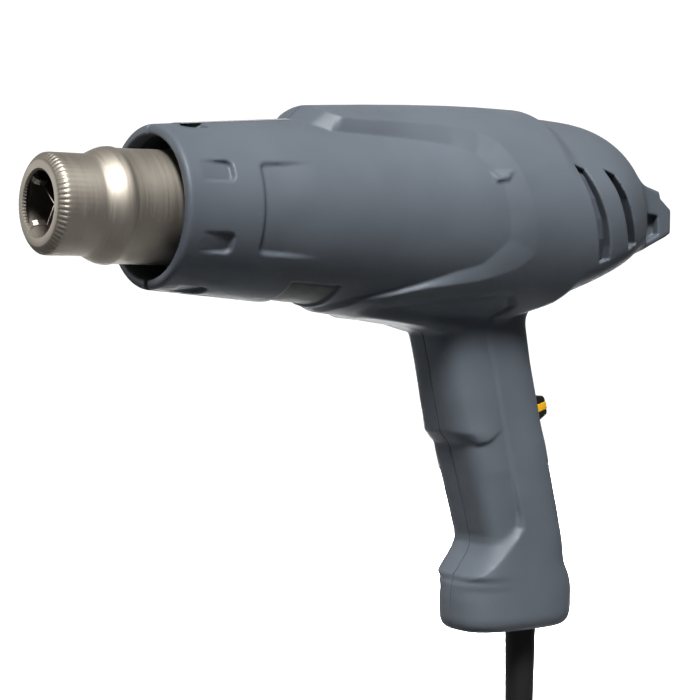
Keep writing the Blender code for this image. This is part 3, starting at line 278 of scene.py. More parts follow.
# Finishes of the pieces that stay as the frame has them.
FINISHES = ((SCREEN, "intake_screen_left intake_screen_right"), (CERAMIC, "ceramic_core"),
            (INNER, "heat_shield thermal_cutout motor_can motor_shaft rotor_core"),
            (MAGNET, "motor_magnet"), (COPPER, "commutator choke"),
            (MICA, "heater_flange mica_sleeve terminal_disc"), (NYLON, "fan_duct impeller motor_carrier"),
            (BLACK, "motor_end_cap rectifier_bridge triac switch_body cable_clamp"), (CAPACITOR, "capacitor"),
            (BOARD, "rectifier_board circuit_board"), (CORD_RUBBER, "cord_inner"), (TIE, "cord_tie"),
            (WIRES["brown"], "wire_live"), (WIRES["blue"], "wire_neutral"), (WIRES["red"], "wire_motor"),
            (WIRES["white"], "wire_heater"))
KEPT = {node: mat for mat, nodes in FINISHES for node in nodes.split()}
KEPT.update({f"{kind}_screw_{k}": ZINC for kind in ("motor", "clamp") for k in (1, 2)})
KEPT.update({f"heating_coil_{k}": HEATING for k in range(1, 5)})


# ---------- shape fields

def smax(a, b, k):
    """The larger of two fields, with a round of about k where they cross."""
    h = np.clip(0.5 + 0.5 * (a - b) / k, 0.0, 1.0)
    return b + (a - b) * h + k * h * (1.0 - h)


def smin(a, b, k):
    """The smaller of two fields, with a round of about k where they cross."""
    return -smax(-a, -b, k)


def step(t):
    """0 up to t = 0, 1 from t = 1, and smooth between."""
    t = np.clip(t, 0.0, 1.0)
    return t * t * (3.0 - 2.0 * t)


def polygon(u, v, points):
    """Signed distance to a closed outline, negative inside."""
    best = np.full(u.shape, 1e9)
    inside = np.zeros(u.shape, bool)
    count = len(points)
    for i in range(count):
        (ax, ay), (bx, by) = points[i], points[(i + 1) % count]
        ex, ey = bx - ax, by - ay
        share = np.clip(((u - ax) * ex + (v - ay) * ey) / (ex * ex + ey * ey), 0.0, 1.0)
        best = np.minimum(best, (u - ax - share * ex) ** 2 + (v - ay - share * ey) ** 2)
        if ay != by:
            inside ^= ((ay > v) != (by > v)) & (u < ex * (v - ay) / ey + ax)
    return np.where(inside, -1.0, 1.0) * np.sqrt(best)


class Chart:
    """A function of two numbers, kept on an even grid and read back between its points."""

    def __init__(self, make, low, high, steps):
        self.low, self.steps = low, steps
        self.shape = [int((high[i] - low[i]) / steps[i]) + 2 for i in range(2)]
        u, v = np.meshgrid(*[low[i] + steps[i] * np.arange(self.shape[i]) for i in range(2)], indexing="ij")
        self.values = make(u, v).astype(np.float32)

    def __call__(self, u, v):
        a = np.clip((u - self.low[0]) / self.steps[0], 0, self.shape[0] - 1.001)
        b = np.clip((v - self.low[1]) / self.steps[1], 0, self.shape[1] - 1.001)
        i, j = a.astype(np.int32), b.astype(np.int32)
        a, b = a - i, b - j
        t = self.values
        return ((t[i, j] * (1 - a) + t[i + 1, j] * a) * (1 - b)
                + (t[i, j + 1] * (1 - a) + t[i + 1, j + 1] * a) * b)


def soften(values, width):
    """Running mean along both axes of a chart."""
    kernel = np.ones(width) / width
    for axis in range(values.ndim):
        pad = [(width // 2, width // 2) if k == axis else (0, 0) for k in range(values.ndim)]
        padded = np.pad(values, pad, "edge")
        values = np.apply_along_axis(lambda m: np.convolve(m, kernel, "valid"), axis, padded)
    return values


# ---------- casing

WALL = 2.8
MOUTH_X = 40.7
DOME_X, DOME_END, DOME_R = 204.0, 259.5, 42.2
DOME_POWER = 2.75                # 2 would be an ellipsoid
HANDLE_LOW = -158.0
CORD_X = 211.0                   # of the sleeve and the cord's way out of the handle
LEAN = np.array((-0.2471, 0.0, 0.9690))      # up along the back of the handle
OUT = np.array((0.9690, 0.0, 0.2471))        # out of the back of the handle
ARC = 38.0                       # radius at which angles round the barrel are drawn flat


def arc(points):
    """(x, degrees round the barrel) as points of the flat drawing."""
    return [(x, radians(angle) * ARC) for x, angle in points]


RAISED_FOOT = arc([(97, 100), (97.5, 66), (103, 55), (110, 52.4), (130, 46.5), (150, 39.7), (158, 33.2),
                   (163, 24.4), (166, 14.9), (168, 0), (168, -11.8), (160, -26.2), (150, -32.1), (130, -49),
                   (115, -60.4), (109, -72), (107, -100), (330, -100), (330, 100)])
RAISED_EDGE = arc([(104.5, 100), (105, 68), (108.5, 61), (120, 58.2), (150, 53.2), (163, 49.8), (170, 41.8),
                   (175, 28.4), (178, 13.7), (181, 0), (183, -13.7), (183, -20.8), (175, -29.9), (160, -37),
                   (140, -42.6), (125, -51), (117, -62), (113, -74), (111, -100), (330, -100), (330, 100)])
LEDGE = [(161.5, 16.5), (172.5, 16.0), (169.5, 12.2), (164.0, 11.4)]
UNDERCUT = [(127, -34), (140, -32), (150, -31), (160, -30), (172, -28), (179, -29), (184, -33), (179, -39),
            (176, -60), (127, -60)]
SLOTS = [[(203, 19.8), (206, 10), (209, 0), (212, -10), (214, -16.2), (219, -15), (218, -10), (215, 0),
          (211, 10), (207.5, 18.3)],
         [(218, 18.8), (222, 10), (225.5, 0), (228.5, -8), (229.5, -10.8), (234.6, -8.8), (231, 0), (228, 8),
          (223, 16.8)]]
FOOT = [(222, 22), (240, 17.5), (247.5, 15.3), (258.5, 12.3), (259.3, 9.6), (265, 5.2), (265, -4.2),
        (263, -6), (222, -24)]
FOOT_POCKET = [(250.5, 3.2), (257.6, 2.6), (258.2, -4.6), (250.5, -7.9)]
FRONT_GRIP = [(130, -40), (177, -40), (178, -45), (183, -60), (188, -80), (193, -100), (197, -114),
              (197.5, -118), (195.5, -121.5), (192, -125), (185, -132), (176, -138.5), (165, -141.5),
              (130, -142)]
FRONT_Z = [-20, -44.7, -54.6, -69, -81.2, -86, -98, -111, -121.5, -124.5, -128, -134, -139.5, -146, -158]
FRONT_X = [155, 160.5, 163.1, 166.2, 169.3, 173.8, 177.4, 181.4, 184.4, 184.6, 183.4, 179.6, 175.9, 175.4,
           175.6]
BACK_Z = [-20, -42, -55, -66, -78, -86, -98, -110, -123, -133, -138, -143, -151, -158]
BACK_X = [199, 204, 206.4, 209.2, 212.2, 214.6, 217.6, 220.6, 223.6, 225.2, 228, 229.3, 229.2, 228.4]
HALF_Z = [-20, -44, -100, -140, -152, -158]
HALF_Y = [16.5, 16.5, 16.4, 17.4, 17.6, 17.2]
PANEL_X, PANEL_HALF, PANEL_DEPTH = 68.4, 20.8, 1.2
SCOOP_END, SCOOP_HALF, SCOOP_DEPTH = 59.0, 5.3, 1.8
LABEL_RECESS = 1.3
POST_R, SCREW_HOLE_R, WELL_R = 3.9, 1.8, 3.3
SLEEVE_HOLE_R = 6.4
SCREWS = [(112, 29.8), (200, 36.4), (243, 2), (113, -30.2), (170.4, -62), (183.0, -149.3), (224.5, -149.3)]


def barrel(x):
    """Radius of the tapering front of the body."""
    return 28.1 + 0.088 * (x - MOUTH_X)


def round_corner(u, v, radius):
    """Depth inside a quarter plane (both u and v positive) whose corner has a round."""
    inner = radius - np.hypot(u - radius, v - radius)
    return np.where((u < radius) & (v < radius), inner, np.minimum(u, v))


def raised_body(x, s, radius):
    """The rear body stands proud of the barrel, from a ramp that starts at its foot line."""
    top = np.interp(x, [96, 105, 112, 130, 148, 167, 182, DOME_X],
                    [37.6, 38.4, 38.9, 40.1, 41.1, 41.9, 42.2, DOME_R])
    low = np.interp(x, [105, 111, 122, 131, 140, 150, 175, DOME_X],
                    [34.4, 35.7, 37.1, 38.2, 39.2, 40.2, 41.6, DOME_R])
    raised = low + (top - low) * step((s + 0.55 * ARC) / (0.7 * ARC))
    foot = np.maximum(-polygon(x, s, RAISED_FOOT), 0.0)
    edge = np.maximum(polygon(x, s, RAISED_EDGE), 0.0)
    ramp = np.clip((foot / (foot + edge + 1e-6) - 0.12) / 0.76, 0.0, 1.0)
    radius = radius + (raised - radius) * ramp
    ledge = np.maximum(-polygon(x, s, LEDGE), 0.0)
    return radius + np.minimum(ledge, 1.0) * (17.0 - s) * 0.26


def side_panel(x, s):
    """Depth of the panel sunk into the side, which fades out towards the rear."""
    inside = round_corner(x - PANEL_X, PANEL_HALF - np.abs(s + 0.2), 3.5)
    fade = 1.0 - step((x - 77 + 3 * step((s + 6) / 12)) / 17.0)
    return PANEL_DEPTH * step(inside / 1.9) * np.maximum(fade, 0.0)


def scoop(x, s, centre):
    """Depth of one of the scoops behind the mouth, deepest at its rear."""
    along = SCOOP_END - x
    inside = round_corner(along, SCOOP_HALF - np.abs(s - radians(centre) * ARC), 3.0)
    slope = np.clip((x - 46.5) / 11.5, 0, 1)
    return SCOOP_DEPTH * slope * step(inside)


def skin_radius(x, s):
    """Outer radius ahead of the dome, with the raised rear body, side panel, scoops and label recess."""
    radius = raised_body(x, s, barrel(x)) - side_panel(x, s)
    for centre in (-74.5, -24.5, 24.5, 74.5):
        radius = radius - scoop(x, s, centre)
    recess = np.minimum(np.minimum(x - 87.2, 107.2 - x), -s - radians(50.0) * ARC)
    return radius - LABEL_RECESS * step(recess / 0.7)


def root_recess(x, z):
    """The sunk area over the grip, with a fine groove along its upper edge."""
    away = polygon(x, z, UNDERCUT)
    return 1.2 * step(-away / 1.3) + 0.7 * np.exp(-((away + 0.5) / 0.8) ** 2) * step((z + 41.0) / 3.0)


def slots(x, z):
    return np.minimum(polygon(x, z, SLOTS[0]), polygon(x, z, SLOTS[1]))


RADIUS = Chart(lambda x, s: soften(skin_radius(x, s), 3), (36.0, -60.5), (210.0, 60.5), (0.2, 0.2))
UNDER = Chart(lambda x, z: soften(root_recess(x, z), 3), (120.0, -62.0), (190.0, -20.0), (0.25, 0.25))
SLOT = Chart(slots, (195.0, -26.0), (245.0, 30.0), (0.2, 0.2))
REAR = Chart(lambda x, z: polygon(x, z, FOOT), (200.0, -50.0), (285.0, 50.0), (0.25, 0.25))
POCKET = Chart(lambda x, z: polygon(x, z, FOOT_POCKET), (240.0, -30.0), (270.0, 20.0), (0.2, 0.2))
LEVELS = np.arange(-160.0, -18.0, 0.25)      # heights at which the handle's outline is kept


def grip_depth(z):
    """How far the front of the grip lies inside the rest of the handle."""
    return np.interp(z, [-141.0, -136.0, -118.0, -96.0, -50.0, -40.0], [0.6, 2.6, 2.4, 0.8, 0.7, 0.0])


def grip_inset(x, z):
    """Depth of the sunk front of the grip, with a fine line along its border."""
    width = np.interp(z, [-125.0, -112.0], [5.5, 0.9])
    away = polygon(x, z, FRONT_GRIP)
    share = np.clip(-away / width, 0.0, 1.0)
    line = 0.45 * np.exp(-(away / 0.75) ** 2) * step((-43.0 - z) / 4.0) * step((z + 122.0) / 6.0)
    return grip_depth(z) * (1.0 - (1.0 - share) ** 2) + line


def finger_bump(x, z):
    """The swell between the finger rests, on the front of the grip."""
    above = z - np.interp(x, [165, 170, 176, 181, 187, 192], [-80.5, -82.5, -85.5, -84.5, -80, -75])
    fade = 1.0 - step((x - 177.0) / 13.0)
    away = step((x - np.interp(z, FRONT_Z[::-1], FRONT_X[::-1])) / 5.0)
    return 1.0 * fade * away * step(above / 1.8 + 0.5) * np.exp(-np.maximum(above - 2.0, 0.0) / 14.0)


GRIP = Chart(lambda x, z: soften(grip_inset(x, z), 3) - finger_bump(x, z), (140.0, -146.0), (205.0, -38.0),
             (0.25, 0.25))


def levels(places, values, width):
    """A line through (place, value) pairs at every level, softened."""
    line = np.interp(LEVELS, sorted(places), [v for _, v in sorted(zip(places, values))])
    return soften(line, width)


FRONT = levels(FRONT_Z, FRONT_X, 7)
grip_levels = (LEVELS > -139.0) & (LEVELS < -40.0)
FRONT = FRONT - np.where(grip_levels, grip_depth(LEVELS), 0.0) * step((LEVELS + 139.0) / 3.0)
BACK = levels(BACK_Z, BACK_X, 13)
HALF = levels(HALF_Z, HALF_Y, 13)


def dome(x, r, inset):
    """The domed rear, as a distance to its surface moved in by inset."""
    length = DOME_END - DOME_X
    u = np.clip((x - DOME_X) / length, 0.0, 3.0)
    q = np.sqrt(u ** DOME_POWER + (r / DOME_R) ** 2) + 1e-6
    rise = DOME_POWER / 2 * u ** (DOME_POWER - 1) / length / q
    slope = np.hypot(rise, r / DOME_R ** 2 / q) + 1e-4
    return (q - 1.0) / slope + inset


def crown_drop(x, z):
    """How far the dome's top lies below the raised body ahead of it."""
    return 2.7 * step((x - 198.0) / 9.0) * (1.0 - step((x - 214.0) / 36.0)) * step((z - 8.0) / 24.0)


def underside(x, z):
    """Distance below the plane that cuts off the rear body over the handle."""
    return (-34.1 + 0.429 * (x - 196.7) - z) * 0.919


def handle(x, away, z, inset=0.0):
    """The handle in rounded sections, moved in by inset; away is the distance from the middle."""
    front = np.interp(z, LEVELS, FRONT) + inset
    back = np.interp(z, LEVELS, BACK) - inset
    half = np.interp(z, LEVELS, HALF) - inset
    deep = (back - front) / 2
    u = (x - (front + back) / 2) / deep
    n = np.where(u > 0, 3.2, np.interp(z, [-142.0, -128.0, -90.0, -76.0], [2.6, 4.0, 4.0, 3.4]))
    u = np.abs(u)
    v = away / half
    f = (u ** n + v ** n) ** (1 / n) + 1e-6
    slope = np.hypot(u ** (n - 1) / deep, v ** (n - 1) / half) / f ** (n - 1) + 1e-4
    return (f - 1.0) / slope * 0.975


def saddle(x, away, z):
    """The block under the body that the front of the handle grows from."""
    low = np.interp(x, [124, 128, 140, 151, 160, 190, 200], [-36.5, -38.0, -39.3, -40.8, -43.2, -45, -42])
    block = smax(low - z, away - 15.8, 5.0)
    block = smax(block, np.maximum(124.0 - x, x - 199.0), 3.0)
    return np.maximum(block, z + 24.0)


def grip_shape(x, away, z):
    grip = handle(x, away, z) + GRIP(x, z)
    grip = smax(grip, HANDLE_LOW - 0.3 - z, 6.0)
    return smax(grip, z + 26.0, 1.0)


def outer_shape(x, y, z):
    """The whole outside of the casing, both halves together."""
    away = np.abs(y)
    r = np.hypot(away, z)
    s = np.arctan2(z, away) * ARC
    ahead = (r - RADIUS(x, s)) * 0.996
    body = np.where(x < DOME_X, ahead, dome(x, r, 0.0))
    body = body + UNDER(x, z) * (r > 25)
    body = body + crown_drop(x, z)
    body = smin(body, saddle(x, away, z), 2.0)
    foot = smax(REAR(x, z), away - 25.0, 1.2)
    body = smin(body, foot, 2.5)
    cut_round = 1.6 + 8.0 * step((x - 200.0) / 10.0) * (1.0 - step((x - 240.0) / 12.0))
    body = smax(body, underside(x, z), cut_round)
    body = smax(body, -np.maximum(POCKET(x, z), 21.5 - away), 0.6)
    body = smin(body, grip_shape(x, away, z), 1.6 + 11.0 * step((x - 192.0) / 14.0))
    body = smax(body, MOUTH_X - x, 1.9)
    return np.maximum(body, 0.75 - away - 0.5 * np.maximum(x - 41.5, 0.0))


def hollow_shape(x, y, z):
    """The room inside: the barrel and dome, the bore round the nozzle and the handle."""
    away = np.abs(y)
    r = np.hypot(away, z)
    main = np.where(x < DOME_X, r - barrel(x) + WALL, dome(x, r, WALL)) + crown_drop(x, z)
    main = np.maximum(main, 46.0 - x)
    main = np.maximum(main, underside(x, z) + 3.0)
    bore = np.maximum(r - 24.6, x - 60.0)
    grip = handle(x, away, z, 2.4) + GRIP(x, z)
    grip = np.maximum(grip, np.maximum(z + 24.0, HANDLE_LOW + 2.7 - z))
    return np.minimum(np.minimum(main, bore), grip)


def at_screws(x, z, radius):
    """Distance to the nearest of the cylinders of this radius round the screws."""
    near = [np.hypot(x - place[0], z - place[1]) - radius for place in SCREWS]
    return np.minimum.reduce(near)


def partitions(x, y, z):
    """Ribs that hold the heater, and the wall round the fan's duct with its gap for the wires."""
    r = np.hypot(y, z)
    ribs = np.minimum(np.abs(x - 116.5) - 0.9, np.abs(x - 120.8) - 0.8)
    ribs = np.maximum(np.maximum(ribs, 25.5 - r), r - barrel(x))
    duct = np.maximum(np.maximum(np.abs(x - 159.8) - 1.2, 31.5 - r), r - barrel(x))
    duct = np.maximum(duct, -np.maximum(np.abs(y) - 8.5, z + 20.0))
    return np.minimum(ribs, duct)


def handle_openings(x, y, z):
    """The hole for the cord's sleeve and the window for the switch slider."""
    cord_hole = np.maximum(np.hypot(x - CORD_X, y) - SLEEVE_HOLE_R, z + 150.0)
    along = (x - CORD_X) * LEAN[0] + (z + 69.6) * LEAN[2]
    window = np.maximum(np.maximum(np.abs(along) - 8.3, np.abs(y) - 5.35), np.abs(x - 210.0) - 9.0)
    return np.minimum(cord_hole, window)


def casing_shape(x, y, z, side):
    """Both halves' plastic; side is 1 with the right half's screw wells and -1 with the left one's holes."""
    outside = outer_shape(x, y, z)
    away = np.abs(y)
    shell = smax(outside, -hollow_shape(x, y, z), 0.8)
    shell = np.minimum(shell, partitions(x, y, z))
    shell = np.minimum(shell, np.maximum(at_screws(x, z, POST_R), outside + 0.4))
    slot = np.maximum(SLOT(x, z), 14.0 - away)
    slot_walls = np.maximum(np.maximum(slot - 1.8, -12.0 - outside), outside + 0.5)
    shell = np.minimum(shell, slot_walls)
    shell = smax(shell, -slot, 0.7)
    shell = np.maximum(shell, -handle_openings(x, y, z))
    holes = at_screws(x, z, SCREW_HOLE_R)
    if side > 0:
        wells = np.maximum(at_screws(x, z, WELL_R), 7.0 - away)
        return np.maximum(shell, -np.minimum(holes, wells))
    return np.maximum(shell, -np.maximum(holes, np.maximum(away - 12.5, outside + 1.8)))


SEAM_Y = 0.24                    # from the middle to the cut face of a half
BLOCK = 8                        # grid steps along each side of a block
CORNERS = [(i, j, k) for i in (0, 1) for j in (0, 1) for k in (0, 1)]


def sample_field(shape, low, counts, h):
    """The field on a grid of step h: block means, with every point worked out near the surface."""
    full = [c * BLOCK for c in counts]
    ticks = [low[i] + h * np.arange(full[i]) for i in range(3)]
    centres = [low[i] + h * (BLOCK * np.arange(counts[i]) + (BLOCK - 1) / 2) for i in range(3)]
    coarse = shape(*[m.ravel() for m in np.meshgrid(*centres, indexing="ij")]).reshape(counts)
    field = np.repeat(np.repeat(np.repeat(coarse, BLOCK, 0), BLOCK, 1), BLOCK, 2).astype(np.float32)
    near = np.argwhere(np.abs(coarse) < BLOCK * h * 0.87 + 3.2)
    inner = np.arange(BLOCK)
    for start in range(0, len(near), 4000):
        part = near[start:start + 4000]
        spans = [part[:, i, None] * BLOCK + inner for i in range(3)]
        gx = ticks[0][spans[0]][:, :, None, None] + np.zeros((1, 1, BLOCK, BLOCK))
        gy = ticks[1][spans[1]][:, None, :, None] + np.zeros((1, BLOCK, 1, BLOCK))
        gz = ticks[2][spans[2]][:, None, None, :] + np.zeros((1, BLOCK, BLOCK, 1))
        gx, gy, gz = np.broadcast_arrays(gx, gy, gz)
        values = shape(gx.ravel(), gy.ravel(), gz.ravel()).reshape(len(part), BLOCK, BLOCK, BLOCK)
        field[spans[0][:, :, None, None], spans[1][:, None, :, None], spans[2][:, None, None, :]] = values
    return field


def crossing_points(field, cells):
    """For each cell, the mean of the points where its edges cross the surface."""
    values = {c: field[cells[:, 0] + c[0], cells[:, 1] + c[1], cells[:, 2] + c[2]] for c in CORNERS}
    place = np.zeros((len(cells), 3))
    weight = np.zeros(len(cells))
    for a in CORNERS:
        for axis in range(3):
            if a[axis] == 0:
                b = tuple(a[i] + (i == axis) for i in range(3))
                va, vb = values[a], values[b]
                crossed = (va < 0) != (vb < 0)
                share = np.where(crossed, va / np.where(crossed, va - vb, 1.0), 0.0)
                point = np.array(a, float) + share[:, None] * (np.array(b) - np.array(a))
                place += point * crossed[:, None]
                weight += crossed
    return cells + place / weight[:, None]


def crossing_quads(inside, index):
    """A quad across each grid edge that crosses the surface, joining the four cells round it."""
    quads = []
    for axis in range(3):
        others = [i for i in range(3) if i != axis]
        first = [slice(None)] * 3
        second = [slice(None)] * 3
        first[axis], second[axis] = slice(0, -1), slice(1, None)
        for i in others:
            first[i] = second[i] = slice(1, -1)
        here, there = inside[tuple(first)], inside[tuple(second)]
        for flip, mask in ((axis == 1, here & ~there), (axis != 1, there & ~here)):
            found = np.argwhere(mask)
            for i in others:
                found[:, i] += 1
            ring = []
            for du, dv in ((0, 0), (1, 0), (1, 1), (0, 1)):
                cell = found.copy()
                cell[:, others[0]] -= du
                cell[:, others[1]] -= dv
                ring.append(index[cell[:, 0], cell[:, 1], cell[:, 2]])
            ring = np.stack(ring, 1)
            quads.append(ring[:, ::-1] if flip else ring)
    return np.concatenate(quads)


def surface_net(shape, low, high, h):
    """Quads on the zero level of a signed field, found on a grid of step h."""
    low = np.array(low, float)
    counts = [int((high[i] - low[i]) / h / BLOCK) + 1 for i in range(3)]
    field = sample_field(shape, low, counts, h)
    inside = field < 0
    full = field.shape
    total = np.zeros([n - 1 for n in full], np.int8)
    for i, j, k in CORNERS:
        total += inside[i:full[0] - 1 + i, j:full[1] - 1 + j, k:full[2] - 1 + k]
    active = (total > 0) & (total < 8)
    cells = np.argwhere(active)
    index = np.full(active.shape, -1, np.int32)
    index[active] = np.arange(len(cells))
    return low + h * crossing_points(field, cells), crossing_quads(inside, index)


def pull_in(shape, points, rounds=2, reach=0.35, e=0.12):
    """Moves points onto the surface along its own slope."""
    for _ in range(rounds):
        x, y, z = points.T
        here = shape(x, y, z)
        slope = np.stack([shape(x + e, y, z) - shape(x - e, y, z), shape(x, y + e, z) - shape(x, y - e, z),
                          shape(x, y, z + e) - shape(x, y, z - e)], 1) / (2 * e)
        size = np.maximum((slope ** 2).sum(1), 0.2)
        move = -(here / size)[:, None] * slope
        length = np.sqrt((move ** 2).sum(1))[:, None] + 1e-9
        points = points + move * np.minimum(1.0, reach / length)
    return points


def link(name, mesh, *mats):
    obj = bpy.data.objects.new(name, mesh)
    bpy.context.scene.collection.objects.link(obj)
    for mat in mats:
        mesh.materials.append(mat)
    return obj


def place_piece(name, mesh, mat, body, slot, *nodes):
    """A piece on its body, in place of the frame's nodes that it shows."""
    piece = link(name, mesh, mat)
    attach(piece, body)
    if nodes:
        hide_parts(*nodes)
    return piece


def close_at_seam(bm):
    """Cuts the half at the seam and fills its rim with flat faces, which keep a hard edge."""
    everything = bm.verts[:] + bm.edges[:] + bm.faces[:]
    bmesh.ops.bisect_plane(bm, geom=everything, dist=0.02, plane_co=(0, SEAM_Y, 0), plane_no=(0, 1, 0),
                           clear_inner=True)
    rim = [e for e in bm.edges if e.is_boundary]
    made = bmesh.ops.triangle_fill(bm, edges=rim, use_beauty=True, normal=(0, -1, 0))
    flat = [g for g in made["geom"] if isinstance(g, bmesh.types.BMFace)]
    for face in bm.faces:
        face.smooth = True
    for face in flat:
        face.smooth = False
        for edge in face.edges:
            edge.smooth = False


def half_mesh(name, side, h):
    """One half of the casing: side is 1 for the right half and -1 for the left."""
    def shape(x, y, z):
        return casing_shape(x, y, z, side)

    points, quads = surface_net(shape, (38.1, -2.1, -161.0), (268.0, 44.5, 46.0), h)
    points = pull_in(shape, points, 2, 0.45 * h)
    mesh = bpy.data.meshes.new(name)
    mesh.from_pydata(points.tolist(), [], quads.tolist())
    bm = bmesh.new()
    bm.from_mesh(mesh)
    close_at_seam(bm)
    if side < 0:
        bmesh.ops.scale(bm, vec=(1, -1, 1), verts=bm.verts)
        bmesh.ops.reverse_faces(bm, faces=bm.faces)
    bm.to_mesh(mesh)
    bm.free()
    places = np.zeros(len(mesh.vertices) * 3)
    mesh.vertices.foreach_get("co", places)
    mesh.vertices.foreach_set("co", row(places.reshape(-1, 3)).ravel())
    mesh.update()
    return mesh


GRID = 0.7                       # step of the grid that the skin is found on
for name, side in (("housing_left", -1), ("housing_right", 1)):
    skin = half_mesh(f"{name}_skin", side, GRID)
    place_piece(f"{name}_skin", skin, CASING, "casing", "casing_plastic", name)


# ---------- turned and lofted pieces

def mesh_of(name, points, faces, smooth=True, sharp=0.6):
    """A mesh in the row frame, whose edges past the sharp angle (radians) stay hard."""
    mesh = bpy.data.meshes.new(name)
    mesh.from_pydata(row(points).tolist(), [], faces)
    bm = bmesh.new()
    bm.from_mesh(mesh)
    bmesh.ops.recalc_face_normals(bm, faces=bm.faces)
    for face in bm.faces:
        face.smooth = smooth
    for edge in bm.edges:
        if len(edge.link_faces) == 2 and edge.calc_face_angle(0.0) > sharp:
            edge.smooth = False
    bm.to_mesh(mesh)
    bm.free()
    return mesh


def lofted(rings, caps=True):
    """Points and faces of rings with equal counts, joined one after another."""
    count = len(rings[0])
    points = np.concatenate(rings)
    faces = []
    for k in range(len(rings) - 1):
        for i in range(count):
            j = (i + 1) % count
            faces.append((k * count + i, k * count + j, (k + 1) * count + j, (k + 1) * count + i))
    if caps:
        faces.append(tuple(range(count))[::-1])
        faces.append(tuple((len(rings) - 1) * count + i for i in range(count)))
    return points, faces


def turned(profile, steps, axis="X", at=(0, 0, 0), shift=None, caps=False):
    """Spins (along, radius) pairs round an axis; shift(along, angle) changes the radius."""
    angle = np.arange(steps) * 2 * pi / steps
    rings = []
    for along, radius in profile:
        r = radius + (shift(along, angle) if shift else 0.0) + 0 * angle
        u, v, w = r * np.cos(angle), r * np.sin(angle), along + 0 * angle
        rings.append(np.stack({"X": [w, u, v], "Y": [u, w, v], "Z": [u, v, w]}[axis], 1) + np.array(at))
    return lofted(rings, caps)


def rounded_path(points, cuts):
    """A profile whose corners are replaced by small arcs of the given cut length."""
    made = [points[0]]
    for before, here, after, cut in zip(points, points[1:], points[2:], cuts):
        before, here, after = (np.array(p, float) for p in (before, here, after))
        one = here + (before - here) / np.linalg.norm(before - here) * cut
        two = here + (after - here) / np.linalg.norm(after - here) * cut
        for t in np.linspace(0, 1, 6):
            made.append(tuple((1 - t) ** 2 * one + 2 * t * (1 - t) * here + t * t * two))
    made.append(points[-1])
    return made


# ---------- nozzle

NOTCHES = 60
NOZZLE_R = 19.7                  # of the wide rear tube
NOZZLE_WALL = 0.9
TIP_R = 17.05                    # of the narrow outlet


def knurl(along, angle):
    """Change of radius by the notches round the outlet's edge."""
    depth = 0.26 * np.interp(along, [0.0, 0.35, 2.2, 3.1], [0.0, 1.0, 1.0, 0.0])
    return -depth * (0.5 - 0.5 * np.cos(NOTCHES * angle)) ** 2


def nozzle_profile():
    """(along, radius) from the rear of the bore, round the lip and back over the swell to the rear."""
    rear = barrel_mm(tip_high.x, 0)
    bore = NOZZLE_R - NOZZLE_WALL
    inner = [(rear, bore), (24.0, bore), (18.2, 16.1), (4.5, 16.1), (1.6, 12.4), (1.1, 11.1)]
    lip = [(0.5, 11.1), (0.0, 11.6), (0.0, 14.1), (0.15, 14.5)]
    shares = (0.14, 0.3, 0.5, 0.7, 0.85, 1.0)
    chamfer = [(0.15 + t * 2.7, 14.5 + 2.5 * sin(t * pi / 2) ** 0.9) for t in shares]
    front = [(3.6, TIP_R), (16.0, TIP_R)]
    shares = (0.06, 0.14, 0.22, 0.3, 0.4, 0.5, 0.6, 0.7, 0.8, 0.9, 1.0)
    swell = [(16.0 + 8.2 * t, TIP_R + 2.75 * (t * t * (3 - 2 * t)) ** 0.9) for t in shares]
    shoulder = [(24.9, 19.92), (25.6, 19.86), (26.4, 19.62), (27.6, 19.5), (34.0, 19.5), (42.0, NOZZLE_R)]
    return inner + lip + chamfer + front + swell + shoulder + [(rear, NOZZLE_R), (rear, bore)]


points, faces = turned(nozzle_profile(), NOTCHES * 8, shift=knurl)
place_piece("nozzle_tube_steel", mesh_of("nozzle_tube_steel", points, faces), STEEL, "casing", "nozzle_steel",
            "nozzle_tube")


GUARD_SHEET = 0.5


def sheet_strip(corners, thickness, across):
    """A thin flat strip through four corners, given thickness along a direction."""
    corners = np.array(corners, float)
    offset = np.array(across, float) * thickness / 2
    return lofted([corners - offset, corners + offset])


def guard_cross(add):
    """Two strips on edge that cross in the outlet."""
    reach = 15.8
    for tilt in (38.0, -52.0):
        y, z = cos(radians(tilt)), sin(radians(tilt))
        corners = [(6, -reach * y, -reach * z), (14, -reach * y, -reach * z),
                   (14, reach * y, reach * z), (6, reach * y, reach * z)]
        add(sheet_strip(corners, GUARD_SHEET, (0, -z, y)))


def guard_tab(add, turn):
    """One of the bent tabs that point inwards behind the lip."""
    side = np.array((0, -sin(radians(turn)), cos(radians(turn))))
    out = np.array((0, cos(radians(turn)), sin(radians(turn))))
    base, tip = 11.3, 9.0
    bends = ((1.3, base), (1.9, tip + 0.8), (3.4, tip), (6.2, tip + 0.3))
    line = [np.array((along, 0, 0)) + out * radius for along, radius in bends]
    for one, two in zip(line, line[1:]):
        across = np.cross(two - one, side)
        across /= np.linalg.norm(across)
        corners = [one - side * 1.2, two - side * 1.0, two + side * 1.0, one + side * 1.2]
        add(sheet_strip(corners, GUARD_SHEET, across))


def guard_mesh():
    points, faces = [], []

    def add(part):
        start = sum(len(p) for p in points)
        points.append(part[0])
        faces.extend(tuple(i + start for i in face) for face in part[1])

    guard_cross(add)
    for turn in (52, 128, 232, 318):
        guard_tab(add, turn)
    return mesh_of("outlet_guard_sheet", np.concatenate(points), faces, smooth=False)


place_piece("outlet_guard_sheet", guard_mesh(), GUARD, "casing", "nozzle_steel", "outlet_guard")


# ---------- housing screws

SCREW_STEPS = 40
THREAD_STEP = 0.55               # from a crest of the thread to the next root


